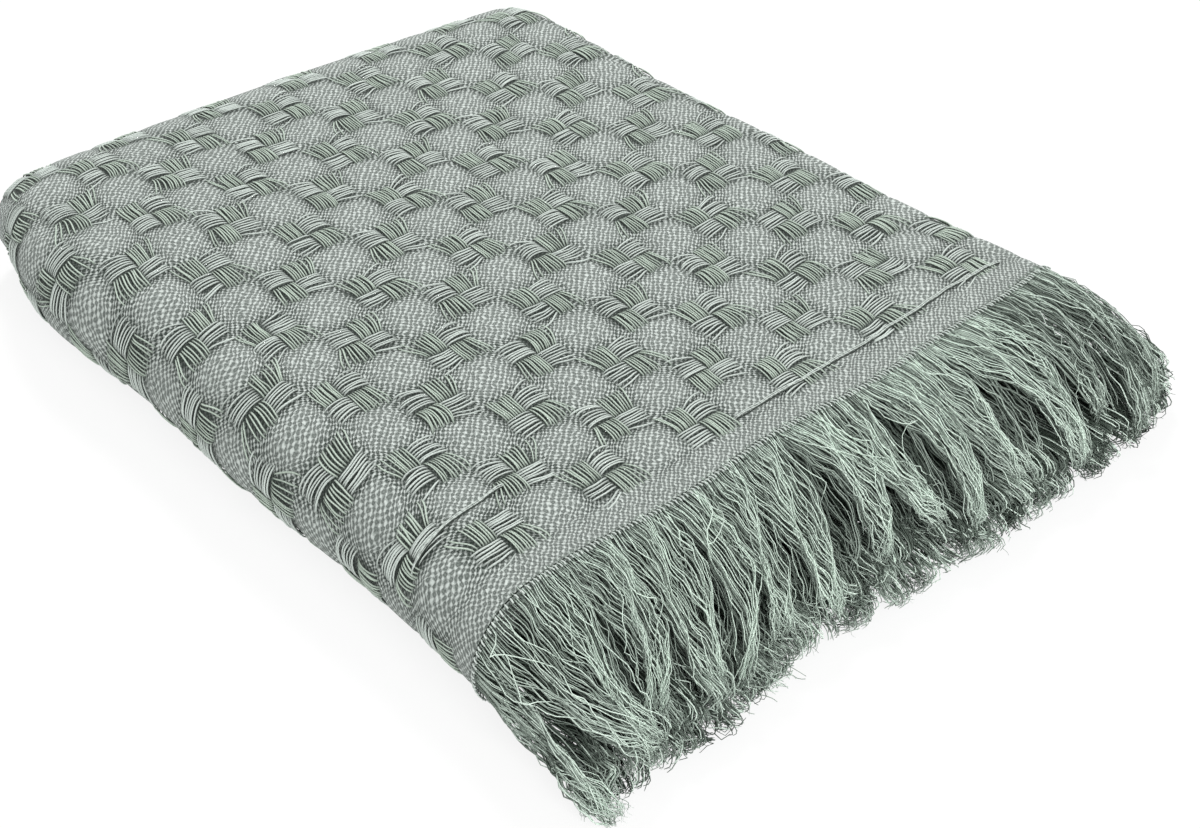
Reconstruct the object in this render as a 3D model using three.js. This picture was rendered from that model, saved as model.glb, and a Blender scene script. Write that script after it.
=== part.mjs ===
// A woven cotton throw with a fringe at both ends, folded in four both ways into a flat stack.
//
// Millimetres, +Z up. X runs along the weft, -Y points to the fringed front, and the stack
// rests on z = 0. The weft fold wraps a group of four layers round and round: a wide fold at
// the left joins the bottom group to the top one, a crease at the right joins the top group to
// the third, and a fold inside the wide one joins the third to the second. Within a group the
// warp fold runs back and forth, so both fringed ends come out at the front.

import * as THREE from 'three';

// ---- Driving dimensions ------------------------------------------------------------------

const CUT_WIDTH = 1300;           // selvedge to selvedge
const LAYER_LENGTH = 373;         // header edge to the start of the back fold
const CLOTH_THICKNESS = 2.6;
const LAYER_PITCH = 3.5;          // from one layer to the next in the stack
const LAYERS_PER_GROUP = 4;
const GROUPS = 4;
const FRONT_SETBACK = 6;          // the hidden front fold lies this far behind the headers
const SELVEDGE_OVERHANG = 8;      // the two free selvedges pass the centre of the crease

const FRINGE_THICKNESS = 1.4;     // at the roots
const TIP_THICKNESS = 0.8;
const FRINGE_GAP = 0.5;           // between a header's edge and its fringe
const SPINE_DEPTH = 7;            // solid band at the root of a fringe
const BUNCH_NOTCH = 2.4;          // opening between two bunches at their roots
const BUNCH_TAPER = 0.3;          // share of its width that a bunch loses by its tip
const BUNCH_ROWS = 5;             // facets along a bunch, the first of them the band
const TIP_PITCH = 2.3;            // height of one flattened fringe level at the tips
const REACH_LEFT = 60;            // how far forward an average bunch lies at the left end
const REACH_RIGHT = 74;           // and at the right end
const REACH_SWING = 4;            // how much longer or shorter the bunches lie
const FALL_REACH = 69;            // how far forward a fringe has come down to the ground
const REACH_WAVE = [2.4, 0.7];    // how fast that changes from bunch to bunch, in radians
const FALL_CURVE = 0.9;           // below 1 a fringe starts to fall sooner
const LEAN_LEFT = 8;              // sideways drift of the tips at the left end
const LEAN_RIGHT = 28;            // and at the right end
const LEAN_CURVE = 1.3;           // above 1 the drift grows towards the tips

// ---- Sizes worked out from them ----------------------------------------------------------

const groupPitch = LAYER_PITCH * LAYERS_PER_GROUP;
const outerLayer = LAYER_PITCH * (LAYERS_PER_GROUP - 1) / 2;
const bottomGroupHeight = outerLayer + CLOTH_THICKNESS / 2;
const creaseRadius = groupPitch / 2;
const wideRadius = groupPitch * (GROUPS - 1) / 2;
const layerBend = LAYER_PITCH / 2;
const bendsLength = Math.PI * (wideRadius + 2 * creaseRadius);
const run = (CUT_WIDTH - bendsLength - 2 * SELVEDGE_OVERHANG) / GROUPS;
const stackWidth = run + wideRadius + creaseRadius + 2 * bottomGroupHeight;
const stackLength = LAYER_LENGTH + layerBend + CLOTH_THICKNESS / 2;
const leftFoldCentre = wideRadius + bottomGroupHeight;

// ---- How the stack lies ------------------------------------------------------------------

// How far the left and right edges lie outside the plain stack, and how high it stands there
// as a share of its full height: evenly spaced rows from the headers to the back fold.
const outline = [
  { left: 9, right: -6, height: 0.92 },
  { left: 12, right: -19, height: 0.98 },
  { left: 19, right: -24, height: 1.0 },
  { left: 22, right: -30, height: 1.0 },
  { left: 29, right: -31, height: 1.0 },
  { left: 15, right: -34, height: 1.0 },
];
const FRONT_SET = 7;              // the headers are drawn back from the plain stack's front
const FRONT_BOW = 2.5;            // the middle of the header edge lies further back
const FRONT_SKEW = 10;            // and so does its right end
const FRONT_SKEW_CURVE = 6;       // above 1 only the last part of that end bends back
const BACK_BOW = 6;               // the middle of the back fold stands out
const SIDE_SLOPE = 0.04;          // share of its height that the top loses at the right edge
const BACK_ROLL = 38;             // the stack rounds off over this length at the back
const BACK_ROLL_DROP = 0.22;      // and loses this share of its height there

function smooth(t) {
  const c = THREE.MathUtils.clamp(t, 0, 1);
  return c * c * (3 - 2 * c);
}

// The outline at a share of the way from the headers (0) to the back fold (1), on a smooth
// curve through the rows.
function outlineAt(share) {
  const last = outline.length - 1;
  const place = share * last;
  const row = Math.min(Math.floor(place), last - 1);
  const t = place - row;
  const blend = (name) => {
    const [before, start, end, after] = [-1, 0, 1, 2].map(
      (step) => outline[THREE.MathUtils.clamp(row + step, 0, last)][name],
    );
    const bend = 2 * before - 5 * start + 4 * end - after;
    const twist = after - before + 3 * (start - end);
    return start + 0.5 * t * (end - before + t * (bend + t * twist));
  };
  return { left: blend('left'), right: blend('right'), height: blend('height') };
}

// Moves a point of the plain stack to where it lies in the real, uneven one. Heights are only
// scaled, so the underside stays flat on z = 0 and no layer passes through another.
function settle(x, y, z) {
  const along = THREE.MathUtils.clamp(y / stackLength, 0, 1);
  const across = THREE.MathUtils.clamp(x / stackWidth, 0, 1);
  const edge = outlineAt(along);
  const bow = Math.sin(Math.PI * across);
  const front = FRONT_SET + FRONT_BOW * bow + FRONT_SKEW * across ** FRONT_SKEW_CURVE;
  const shift = THREE.MathUtils.lerp(front, BACK_BOW * bow, along);
  const spread = across * edge.right - (1 - across) * edge.left;
  const roll = Math.max(0, 1 + (y - stackLength) / BACK_ROLL);
  const height = edge.height * (1 - SIDE_SLOPE * across ** 2) * (1 - BACK_ROLL_DROP * roll ** 2);
  return new THREE.Vector3(x + spread, y + shift, z * height);
}

// ---- Folds as routes of straight runs and half-turn bends --------------------------------

// The fold across the stack in X and Z, from the bottom group's free selvedge. A bend's length
// follows from its radius. Steps are the cloth's facets on each stretch, and bunches the teeth
// of a fringe there.
const acrossFold = {
  start: { a: leftFoldCentre + run + SELVEDGE_OVERHANG, b: bottomGroupHeight, heading: Math.PI },
  stretches: [
    { name: 'bottom edge', length: SELVEDGE_OVERHANG, radius: 0, turn: 0, steps: 1, bunches: 0 },
    { name: 'bottom group', length: run, radius: 0, turn: 0, steps: 5, bunches: 8 },
    { name: 'wide left fold', length: 0, radius: wideRadius, turn: -1, steps: 8, bunches: 4 },
    { name: 'top group', length: run, radius: 0, turn: 0, steps: 5, bunches: 9 },
    { name: 'right crease', length: 0, radius: creaseRadius, turn: -1, steps: 5, bunches: 3 },
    { name: 'third group', length: run, radius: 0, turn: 0, steps: 5, bunches: 8 },
    { name: 'inner left fold', length: 0, radius: creaseRadius, turn: 1, steps: 5, bunches: 3 },
    { name: 'second group', length: run, radius: 0, turn: 0, steps: 5, bunches: 8 },
    { name: 'second edge', length: SELVEDGE_OVERHANG, radius: 0, turn: 0, steps: 1, bunches: 0 },
  ],
};

// The fold along the stack in Y and in height within a group, from the inner header. Facets
// of neighbouring layers meet the same Y, so the layers stay apart wherever the stack curves.
const layerMiddle = LAYER_LENGTH - BACK_ROLL;
const frontStep = layerMiddle / 4;
const alongFold = {
  start: { a: 0, b: -outerLayer, heading: 0 },
  stretches: [
    { name: 'inner layer', length: layerMiddle, radius: 0, turn: 0, steps: 4 },
    { name: 'inner back', length: BACK_ROLL, radius: 0, turn: 0, steps: 2 },
    { name: 'inner back fold', length: 0, radius: layerBend, turn: 1, steps: 3 },
    { name: 'second back', length: BACK_ROLL, radius: 0, turn: 0, steps: 2 },
    { name: 'second layer', length: layerMiddle - frontStep, radius: 0, turn: 0, steps: 3 },
    { name: 'second front', length: frontStep - FRONT_SETBACK, radius: 0, turn: 0, steps: 1 },
    { name: 'hidden front fold', length: 0, radius: layerBend, turn: -1, steps: 3 },
    { name: 'third front', length: frontStep - FRONT_SETBACK, radius: 0, turn: 0, steps: 1 },
    { name: 'third layer', length: layerMiddle - frontStep, radius: 0, turn: 0, steps: 3 },
    { name: 'third back', length: BACK_ROLL, radius: 0, turn: 0, steps: 2 },
    { name: 'outer back fold', length: 0, radius: layerBend, turn: 1, steps: 3 },
    { name: 'outer back', length: BACK_ROLL, radius: 0, turn: 0, steps: 2 },
    { name: 'outer layer', length: layerMiddle, radius: 0, turn: 0, steps: 4 },
  ],
};

// Turns a fold into its stretches with their starting distance, place and heading.
function layOut(fold) {
  let distance = 0;
  let { a, b, heading } = fold.start;
  return fold.stretches.map((stretch) => {
    const length = stretch.radius > 0 ? Math.PI * stretch.radius : stretch.length;
    const laid = { ...stretch, length, distance, a, b, heading };
    const end = pointOn(laid, length);
    distance += length;
    a = end.a;
    b = end.b;
    heading += stretch.turn * Math.PI;
    return laid;
  });
}

// The point on a stretch, with the unit vector to the left of the way it runs.
function pointOn(stretch, s) {
  const { a, b, heading, radius, turn } = stretch;
  if (radius === 0) {
    return {
      a: a + s * Math.cos(heading),
      b: b + s * Math.sin(heading),
      na: -Math.sin(heading),
      nb: Math.cos(heading),
    };
  }
  const angle = heading + turn * s / radius;
  return {
    a: a + turn * radius * (Math.sin(angle) - Math.sin(heading)),
    b: b - turn * radius * (Math.cos(angle) - Math.cos(heading)),
    na: -Math.sin(angle),
    nb: Math.cos(angle),
  };
}

function pointAt(route, distance) {
  const last = route[route.length - 1];
  const stretch = route.find((each) => distance <= each.distance + each.length) ?? last;
  return pointOn(stretch, distance - stretch.distance);
}

// Distances along a route, with each stretch divided into as many parts as count names.
function stations(route, count) {
  const parts = route.filter((stretch) => stretch[count] > 0);
  const places = [parts[0].distance];
  for (const { distance, length, [count]: steps } of parts) {
    for (let step = 1; step <= steps; step += 1) {
      places.push(distance + length * step / steps);
    }
  }
  return places;
}

const across = layOut(acrossFold);
const along = layOut(alongFold);

// ---- Closed solids from a sheet ----------------------------------------------------------

function meshOf(name, points, triangles, finish) {
  const geometry = new THREE.BufferGeometry();
  const flat = points.flatMap((point) => [point.x, point.y, point.z]);
  geometry.setAttribute('position', new THREE.Float32BufferAttribute(flat, 3));
  geometry.setIndex(triangles.flat());
  geometry.computeVertexNormals();
  const mesh = new THREE.Mesh(geometry, new THREE.MeshStandardMaterial(finish));
  mesh.name = name;
  return mesh;
}

// Closes a sheet of cells into a solid. present(i, j) says which cells it has; front(i, j) and
// back(i, j) give a corner on each face. Faces point out when front lies to the side to which
// i cross j points.
function closeSheet(name, countI, countJ, present, front, back, finish) {
  const points = [];
  const numbers = new Map();
  const corner = (i, j, side) => {
    const key = `${i},${j},${side}`;
    if (!numbers.has(key)) {
      numbers.set(key, points.length);
      points.push(side === 'front' ? front(i, j) : back(i, j));
    }
    return numbers.get(key);
  };
  const triangles = [];
  const quad = (p, q, r, s) => triangles.push([p, q, r], [p, r, s]);
  const has = (i, j) => i >= 0 && j >= 0 && i < countI && j < countJ && present(i, j);
  const wall = (i0, j0, i1, j1) => quad(
    corner(i1, j1, 'front'),
    corner(i0, j0, 'front'),
    corner(i0, j0, 'back'),
    corner(i1, j1, 'back'),
  );
  for (let i = 0; i < countI; i += 1) {
    for (let j = 0; j < countJ; j += 1) {
      if (!has(i, j)) continue;
      const ring = [[i, j], [i + 1, j], [i + 1, j + 1], [i, j + 1]];
      quad(...ring.map(([a, b]) => corner(a, b, 'front')));
      quad(...ring.reverse().map(([a, b]) => corner(a, b, 'back')));
      if (!has(i, j - 1)) wall(i, j, i + 1, j);
      if (!has(i + 1, j)) wall(i + 1, j, i + 1, j + 1);
      if (!has(i, j + 1)) wall(i + 1, j + 1, i, j + 1);
      if (!has(i - 1, j)) wall(i, j + 1, i, j);
    }
  }
  return meshOf(name, points, triangles, finish);
}

// ---- The cloth ---------------------------------------------------------------------------

// A point of the folded cloth: u across, v along, offset to the left of the fold along.
function clothPoint(u, v, offset) {
  const layer = pointAt(along, v);
  const group = pointAt(across, u);
  const height = layer.b + offset * layer.nb;
  const x = group.a + group.na * height;
  const y = layer.a + offset * layer.na;
  const z = group.b + group.nb * height;
  return settle(x, y, z);
}

function wovenCloth() {
  const us = stations(across, 'steps');
  const vs = stations(along, 'steps');
  const half = CLOTH_THICKNESS / 2;
  return closeSheet(
    'woven_cloth', us.length - 1, vs.length - 1, () => true,
    (i, j) => clothPoint(us[i], vs[j], half),
    (i, j) => clothPoint(us[i], vs[j], -half),
    { color: 0x8d9c8c, roughness: 0.95, metalness: 0 },
  );
}

// ---- The fringes -------------------------------------------------------------------------

// Heights at which fringes leave the headers, from the lowest to the highest.
function fringeLevels() {
  const levels = [];
  for (let group = 0; group < GROUPS; group += 1) {
    const middle = bottomGroupHeight + group * groupPitch;
    levels.push(middle - outerLayer, middle + outerLayer);
  }
  return levels;
}

const levels = fringeLevels();

// Height of a fringe's tips on the ground, for the height at which it leaves its header.
function tipHeight(height) {
  const last = levels.length - 2;
  const found = levels.findIndex((level, row) => row <= last && height < levels[row + 1]);
  const row = found < 0 ? last : found;
  const share = (height - levels[row]) / (levels[row + 1] - levels[row]);
  return TIP_PITCH * (row + share) + TIP_PITCH / 2;
}

// How far forward a bunch lies, a little further or less far than its neighbours.
function bunchReach(bunch, u) {
  const reach = THREE.MathUtils.lerp(REACH_LEFT, REACH_RIGHT, pointAt(across, u).a / stackWidth);
  const [fast, slow] = REACH_WAVE;
  return reach + REACH_SWING * Math.sin(fast * bunch) * Math.cos(slow * bunch);
}

// The middle of a fringe: u across, forward from its root at the header.
function fringeMiddle(u, forward, height) {
  const group = pointAt(across, u);
  const x = group.a + group.na * height;
  const z = group.b + group.nb * height;
  const share = forward / FALL_REACH;
  const lean = THREE.MathUtils.lerp(LEAN_LEFT, LEAN_RIGHT, (x / stackWidth) ** 2);
  const fallen = smooth(share ** FALL_CURVE);
  const point = settle(x, 0, THREE.MathUtils.lerp(z, tipHeight(z), fallen));
  point.x += lean * share ** LEAN_CURVE;
  point.y -= FRINGE_GAP + forward;
  return point;
}

// A point on a face of a fringe, half its thickness from the middle along the true normal.
function fringePoint(u, forward, height, offset) {
  const step = 0.5;
  const here = fringeMiddle(u, forward, height);
  const beside = fringeMiddle(u + step, forward, height).sub(here);
  const ahead = fringeMiddle(u, forward + step, height).sub(here);
  const normal = new THREE.Vector3().crossVectors(ahead, beside);
  if (forward === 0) normal.y = 0;
  return here.addScaledVector(normal.normalize(), offset);
}

// One comb along a header: a band at the roots and a tapered tooth for each bunch.
function fringe(name, height, finish) {
  const bounds = stations(across, 'bunches');
  const corner = (face) => (i, j) => {
    const bunch = i >> 1;
    const reach = bunchReach(bunch, (bounds[bunch] + bounds[bunch + 1]) / 2);
    const forward = j === 1 ? SPINE_DEPTH : reach * j / BUNCH_ROWS;
    const taper = 1 - BUNCH_TAPER * Math.max(0, j - 1) / BUNCH_ROWS;
    const side = i % 2 === 0 ? -1 : 1;
    const width = bounds[bunch + 1] - bounds[bunch];
    const u = (bounds[bunch] + bounds[bunch + 1] + side * taper * (width - BUNCH_NOTCH)) / 2;
    const thickness = THREE.MathUtils.lerp(FRINGE_THICKNESS, TIP_THICKNESS, j / BUNCH_ROWS);
    return fringePoint(u, forward, height, face * thickness / 2);
  };
  const isTooth = (i) => i % 2 === 0;
  return closeSheet(
    name, 2 * bounds.length - 3, BUNCH_ROWS, (i, j) => isTooth(i) || j === 0,
    corner(-1), corner(1), finish,
  );
}

// ---- The throw ---------------------------------------------------------------------------

const fringeFinish = { color: 0xa3b0a1, roughness: 0.95, metalness: 0 };
const folded = new THREE.Group();
folded.add(wovenCloth());
folded.add(fringe('outer_end_fringe', outerLayer, fringeFinish));
folded.add(fringe('inner_end_fringe', -outerLayer, fringeFinish));

const box = new THREE.Box3().setFromObject(folded);
const middle = box.getCenter(new THREE.Vector3());
folded.position.set(-middle.x, -middle.y, 0);

const throwBlanket = new THREE.Group();
throwBlanket.add(folded);

export default throwBlanket;
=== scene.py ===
"""A folded woven cotton throw with a fringe at both ends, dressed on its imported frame.

Metres, +Z up. X runs along the weft, -Y points to the fringed front, and the stack rests on
z = 0. The cloth is one sheet that follows the same two folds as its solid: FoldedThrow turns a
place on the cloth into a place in the stack, and the ground weave, the floating yarns and the
fringe are all laid out on it.
"""

import logging
import math
from dataclasses import dataclass
from enum import Enum

import bmesh
import bpy
import numpy as np
from mathutils import Matrix, Vector

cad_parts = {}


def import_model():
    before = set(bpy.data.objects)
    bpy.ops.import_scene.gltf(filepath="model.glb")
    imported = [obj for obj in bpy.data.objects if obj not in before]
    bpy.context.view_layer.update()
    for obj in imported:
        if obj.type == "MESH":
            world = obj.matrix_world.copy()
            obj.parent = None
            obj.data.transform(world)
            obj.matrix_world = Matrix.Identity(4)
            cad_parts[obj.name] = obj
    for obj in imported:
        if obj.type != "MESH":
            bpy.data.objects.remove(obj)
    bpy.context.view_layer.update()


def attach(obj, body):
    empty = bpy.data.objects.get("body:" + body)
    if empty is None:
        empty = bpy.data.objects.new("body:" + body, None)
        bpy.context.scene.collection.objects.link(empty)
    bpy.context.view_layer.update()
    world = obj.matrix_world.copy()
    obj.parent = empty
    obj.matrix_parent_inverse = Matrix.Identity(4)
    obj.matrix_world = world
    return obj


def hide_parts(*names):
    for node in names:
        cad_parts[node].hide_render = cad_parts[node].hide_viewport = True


log = logging.getLogger("throw")

SEED = 41
BODY = "root"

# one full turn, in radians
TURN = 2 * math.pi

# the rounds in which an inverse settles, a step off the cloth, and a guard for a zero length
ROUNDS = 4
PROBE = 0.001
TINY = 1e-12

# two numbers that belong together, such as lowest and highest or a beginning and a length
Pair = tuple[float, float]


# ---- The two folds --------------------------------------------------------------------------


@dataclass(frozen=True)
class Stretch:
    """One straight run, or one half-turn bend when it has a radius."""

    name: str
    length: float = 0.0
    radius: float = 0.0
    turn: int = 0

    def reach(self) -> float:
        """Length of cloth that the stretch takes up."""
        return math.pi * self.radius if self.radius else self.length


class Route:
    """A fold in its own plane: stretches laid end to end from a start and a heading."""

    def __init__(self, start: tuple[float, float], heading: float, stretches: list[Stretch]):
        """Lays the stretches out.

        Args:
            start: Where the first stretch begins.
            heading: Which way it runs, in radians.
            stretches: The runs and bends in order.
        """
        self.stretches = stretches
        self.starts = np.concatenate([[0.0], np.cumsum([s.reach() for s in stretches])])
        self.rows = np.zeros((len(stretches), 5))
        a, b = start
        for row, stretch in zip(self.rows, stretches):
            row[:] = a, b, heading, stretch.radius, stretch.turn
            a, b = self._step(row, stretch.reach())[:2]
            heading += stretch.turn * math.pi

    @staticmethod
    def _step(row: np.ndarray, s: np.ndarray) -> tuple[np.ndarray, ...]:
        """Places and left-hand normals along one or many stretches.

        Args:
            row: Start a and b, heading, radius and turn; the first axis of many.
            s: Distance from each stretch's start.

        Returns:
            a, b and the two parts of the unit vector to the left.
        """
        a, b, heading, radius, turn = row
        curved = radius > 0
        safe = np.where(curved, radius, 1.0)
        angle = heading + np.where(curved, turn * s / safe, 0.0)
        swing = turn * safe
        along_a = np.where(curved, swing * (np.sin(angle) - np.sin(heading)), s * np.cos(heading))
        along_b = np.where(curved, -swing * (np.cos(angle) - np.cos(heading)), s * np.sin(heading))
        return a + along_a, b + along_b, -np.sin(angle), np.cos(angle)

    def at(self, distance: np.ndarray) -> tuple[np.ndarray, ...]:
        """Place and left-hand normal at distances along the route.

        Args:
            distance: Distances from the route's start.

        Returns:
            a, b and the two parts of the unit vector to the left.
        """
        distance = np.asarray(distance, float)
        last = len(self.stretches) - 1
        which = np.clip(np.searchsorted(self.starts, distance, side="left") - 1, 0, last)
        return self._step(np.moveaxis(self.rows[which], -1, 0), distance - self.starts[which])

    def span(self, name: str) -> tuple[float, float]:
        """Distances at which a named stretch starts and ends."""
        index = [s.name for s in self.stretches].index(name)
        return float(self.starts[index]), float(self.starts[index + 1])

    def length(self) -> float:
        """Length of cloth along the whole route."""
        return float(self.starts[-1])

    def stations(self, steps: dict[str, int]) -> np.ndarray:
        """Distances that divide each stretch into equal steps.

        Args:
            steps: How many steps each stretch takes.

        Returns:
            The distances in order, both ends included.
        """
        places = [np.array([0.0])]
        for index, stretch in enumerate(self.stretches):
            share = np.arange(1, steps[stretch.name] + 1) / steps[stretch.name]
            places.append(self.starts[index] + share * stretch.reach())
        return np.concatenate(places)


def smooth(t: np.ndarray) -> np.ndarray:
    """Eases from 0 to 1."""
    c = np.clip(t, 0.0, 1.0)
    return c * c * (3 - 2 * c)


def ramp(t: np.ndarray, begin: float, over: float) -> np.ndarray:
    """Eases from 0 to 1 from a beginning over a length."""
    return smooth((t - begin) / over)


def lerp(a: float, b: float, t: np.ndarray) -> np.ndarray:
    """Straight blend from a to b."""
    return a + (b - a) * t


def wave(place: np.ndarray, length: float, phase: np.ndarray | float = 0.0) -> np.ndarray:
    """A sine wave of some length along a place."""
    return np.sin(TURN * place / length + phase)


@dataclass
class FoldedThrow:
    """The throw's sizes, its two folds, and how the stack lies."""

    cut_width: float = 1.3
    layer_length: float = 0.373
    layer_pitch: float = 0.0035
    layers: int = 4
    groups: int = 4
    half_thickness: float = 0.0013
    front_setback: float = 0.006
    selvedge: float = 0.008
    front_set: float = 0.007
    front_bow: float = 0.0025
    front_skew: float = 0.010
    front_skew_curve: float = 6.0
    front_wave: float = 0.0018
    front_wave_pitch: float = 0.11
    front_wave_phase: float = 0.14
    back_bow: float = 0.006
    side_slope: float = 0.04
    back_roll: float = 0.038
    back_roll_drop: float = 0.22
    fringe_gap: float = 0.0005
    fall_reach: float = 0.069
    fall_curve: float = 0.9
    tip_pitch: float = 0.0023
    lean_left: float = 0.008
    lean_right: float = 0.028
    lean_curve: float = 1.3
    middle: tuple[float, float] = (0.16566, 0.1587)

    # left and right edge outside the plain stack, and the height there, front to back
    outline = np.array(
        [
            (0.009, -0.006, 0.92),
            (0.012, -0.019, 0.98),
            (0.019, -0.024, 1.00),
            (0.022, -0.030, 1.00),
            (0.029, -0.031, 1.00),
            (0.015, -0.034, 1.00),
        ]
    )

    def __post_init__(self) -> None:
        """Works out the folds and where the stack stands in the frame."""
        pitch = self.layer_pitch * self.layers
        self.outer = self.layer_pitch * (self.layers - 1) / 2
        self.bottom = self.outer + self.half_thickness
        self.crease_radius = pitch / 2
        self.wide_radius = pitch * (self.groups - 1) / 2
        bend = self.layer_pitch / 2
        bends = math.pi * (self.wide_radius + 2 * self.crease_radius)
        self.run = (self.cut_width - bends - 2 * self.selvedge) / self.groups
        self.left_centre = self.wide_radius + self.bottom
        self.width = self.run + self.wide_radius + self.crease_radius + 2 * self.bottom
        self.length = self.layer_length + bend + self.half_thickness
        short = self.layer_length - self.front_setback
        self.across = Route(
            (self.left_centre + self.run + self.selvedge, self.bottom),
            math.pi,
            [
                Stretch("bottom edge", self.selvedge),
                Stretch("bottom group", self.run),
                Stretch("wide fold", radius=self.wide_radius, turn=-1),
                Stretch("top group", self.run),
                Stretch("crease", radius=self.crease_radius, turn=-1),
                Stretch("third group", self.run),
                Stretch("inner fold", radius=self.crease_radius, turn=1),
                Stretch("second group", self.run),
                Stretch("second edge", self.selvedge),
            ],
        )
        self.along = Route(
            (0.0, -self.outer),
            0.0,
            [
                Stretch("inner layer", self.layer_length),
                Stretch("inner back", radius=bend, turn=1),
                Stretch("second layer", short),
                Stretch("front fold", radius=bend, turn=-1),
                Stretch("third layer", short),
                Stretch("outer back", radius=bend, turn=1),
                Stretch("outer layer", self.layer_length),
            ],
        )
        self.end_v = self.along.length()
        self.top_start, self.top_end = self.across.span("top group")
        levels = self.bottom + pitch * np.arange(self.groups)
        self.levels = np.sort(np.concatenate([levels - self.outer, levels + self.outer]))
        self.shift = np.array([-self.middle[0], -self.middle[1], 0.0])

    def edge(self, share: np.ndarray) -> np.ndarray:
        """Left and right edges and height on a smooth curve through the outline's rows.

        Args:
            share: From the headers, 0, to the back fold, 1.

        Returns:
            The three values, on the last axis.
        """
        last = len(self.outline) - 1
        place = np.clip(share, 0, 1) * last
        row = np.minimum(np.floor(place).astype(int), last - 1)
        t = (place - row)[..., None]
        before, start, end, after = (
            self.outline[np.clip(row + step, 0, last)] for step in (-1, 0, 1, 2)
        )
        bend = 2 * before - 5 * start + 4 * end - after
        twist = after - before + 3 * (start - end)
        return start + 0.5 * t * (end - before + t * (bend + t * twist))

    def bow(self, x: np.ndarray, y: np.ndarray) -> np.ndarray:
        """How far back the stack bulges.

        Args:
            x: Across the plain stack.
            y: Back from the headers.

        Returns:
            The bulge, forward where it is negative.
        """
        along = np.clip(y / self.length, 0, 1)
        across = np.clip(x / self.width, 0, 1)
        curve = np.sin(math.pi * across)
        phase = x / self.front_wave_pitch - self.front_wave_phase
        wave = np.sin(TURN * phase) * (1 - across**2)
        front = self.front_set + self.front_bow * curve + self.front_wave * wave
        front = front + self.front_skew * across**self.front_skew_curve
        return lerp(front, self.back_bow * curve, along)

    def settle(self, x: np.ndarray, y: np.ndarray, z: np.ndarray) -> np.ndarray:
        """Moves a point of the plain stack to where it lies in the real one.

        Args:
            x: Across the plain stack.
            y: Back from the headers.
            z: Height.

        Returns:
            Points with x, y and z on the last axis, in the frame.
        """
        x, y, z = np.broadcast_arrays(x, y, z)
        across = np.clip(x / self.width, 0, 1)
        left, right, tall = np.moveaxis(self.edge(y / self.length), -1, 0)
        roll = np.maximum(0, 1 + (y - self.length) / self.back_roll)
        height = tall * (1 - self.side_slope * across**2) * (1 - self.back_roll_drop * roll**2)
        spread = across * right - (1 - across) * left
        return np.stack([x + spread, y + self.bow(x, y), z * height], axis=-1) + self.shift

    def point(self, u: np.ndarray, v: np.ndarray, offset: np.ndarray) -> np.ndarray:
        """A point of the folded cloth.

        Args:
            u: Across the cut cloth.
            v: Along it, from the inner header.
            offset: To the left of the fold along; negative is outside on the outer layer.

        Returns:
            Points in the frame.
        """
        la, lb, lna, lnb = self.along.at(v)
        ga, gb, gna, gnb = self.across.at(u)
        height = lb + offset * lnb
        return self.settle(ga + gna * height, la + offset * lna, gb + gnb * height)

    def lattice(self, u: np.ndarray, v: np.ndarray) -> tuple[np.ndarray, np.ndarray]:
        """Where the pattern is on the cloth: straight in space on the top, then round the folds.

        Args:
            u: Across the cut cloth.
            v: Along it.

        Returns:
            Distance across and distance back from the headers.
        """
        y = self.end_v - v
        x_flat = self.left_centre + u - self.top_start
        x = np.clip(x_flat, self.left_centre, self.left_centre + self.run)
        left, right, _ = np.moveaxis(self.edge(y / self.length), -1, 0)
        share = x / self.width
        x_route = self.across.at(u)[0]
        m = x_flat + share * right - (1 - share) * left
        return m, y + self.bow(x_route, y)

    def cloth_at(self, m: np.ndarray, n: np.ndarray) -> tuple[np.ndarray, np.ndarray]:
        """The cloth's u and v under a place of the pattern: the inverse of lattice.

        Args:
            m: Distance across.
            n: Distance back from the headers.

        Returns:
            u and v on the outer layer.
        """
        y = n
        first, last = self.left_centre, self.left_centre + self.run
        for _ in range(ROUNDS):
            left, right, _ = np.moveaxis(self.edge(y / self.length), -1, 0)
            stretch = 1 + (right + left) / self.width
            inside = np.clip(m, first * stretch - left, last * stretch - left)
            x = (inside + left) / stretch
            u = self.top_start + x - first + m - inside
            y = n - self.bow(self.across.at(u)[0], y)
        return u, self.end_v - y

    def fringe_point(self, u: np.ndarray, forward: np.ndarray, height: float) -> np.ndarray:
        """Where a fringe runs as it leaves its header and falls to the ground.

        Args:
            u: Across the cut cloth.
            forward: In front of the header's edge.
            height: Height of its layer in the group.

        Returns:
            Points in the frame.
        """
        ga, gb, gna, gnb = self.across.at(u)
        x, z = ga + gna * height, gb + gnb * height
        share = np.maximum(forward, 0) / self.fall_reach
        lean = lerp(self.lean_left, self.lean_right, (x / self.width) ** 2)
        row = np.interp(z, self.levels, np.arange(len(self.levels)))
        tip = self.tip_pitch * (row + 0.5)
        fallen = smooth(share**self.fall_curve)
        point = self.settle(x, np.maximum(-forward, 0), lerp(z, tip, fallen))
        point[..., 0] += lean * share**self.lean_curve
        point[..., 1] -= self.fringe_gap + np.maximum(forward, 0)
        return point


# ---- The pattern ----------------------------------------------------------------------------


@dataclass(frozen=True)
class Pull:
    """A part of the cloth that lies pulled out of line: how far, and where that begins and ends."""

    across: float
    along: float
    m_none: float
    m_full: float
    n_none: float
    n_full: float

    def weight(self, m: np.ndarray, n: np.ndarray) -> np.ndarray:
        """Share of the pull that is felt at a place of the pattern."""
        across = ramp(m, self.m_none, self.m_full - self.m_none)
        return across * ramp(n, self.n_none, self.n_full - self.n_none)


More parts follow.
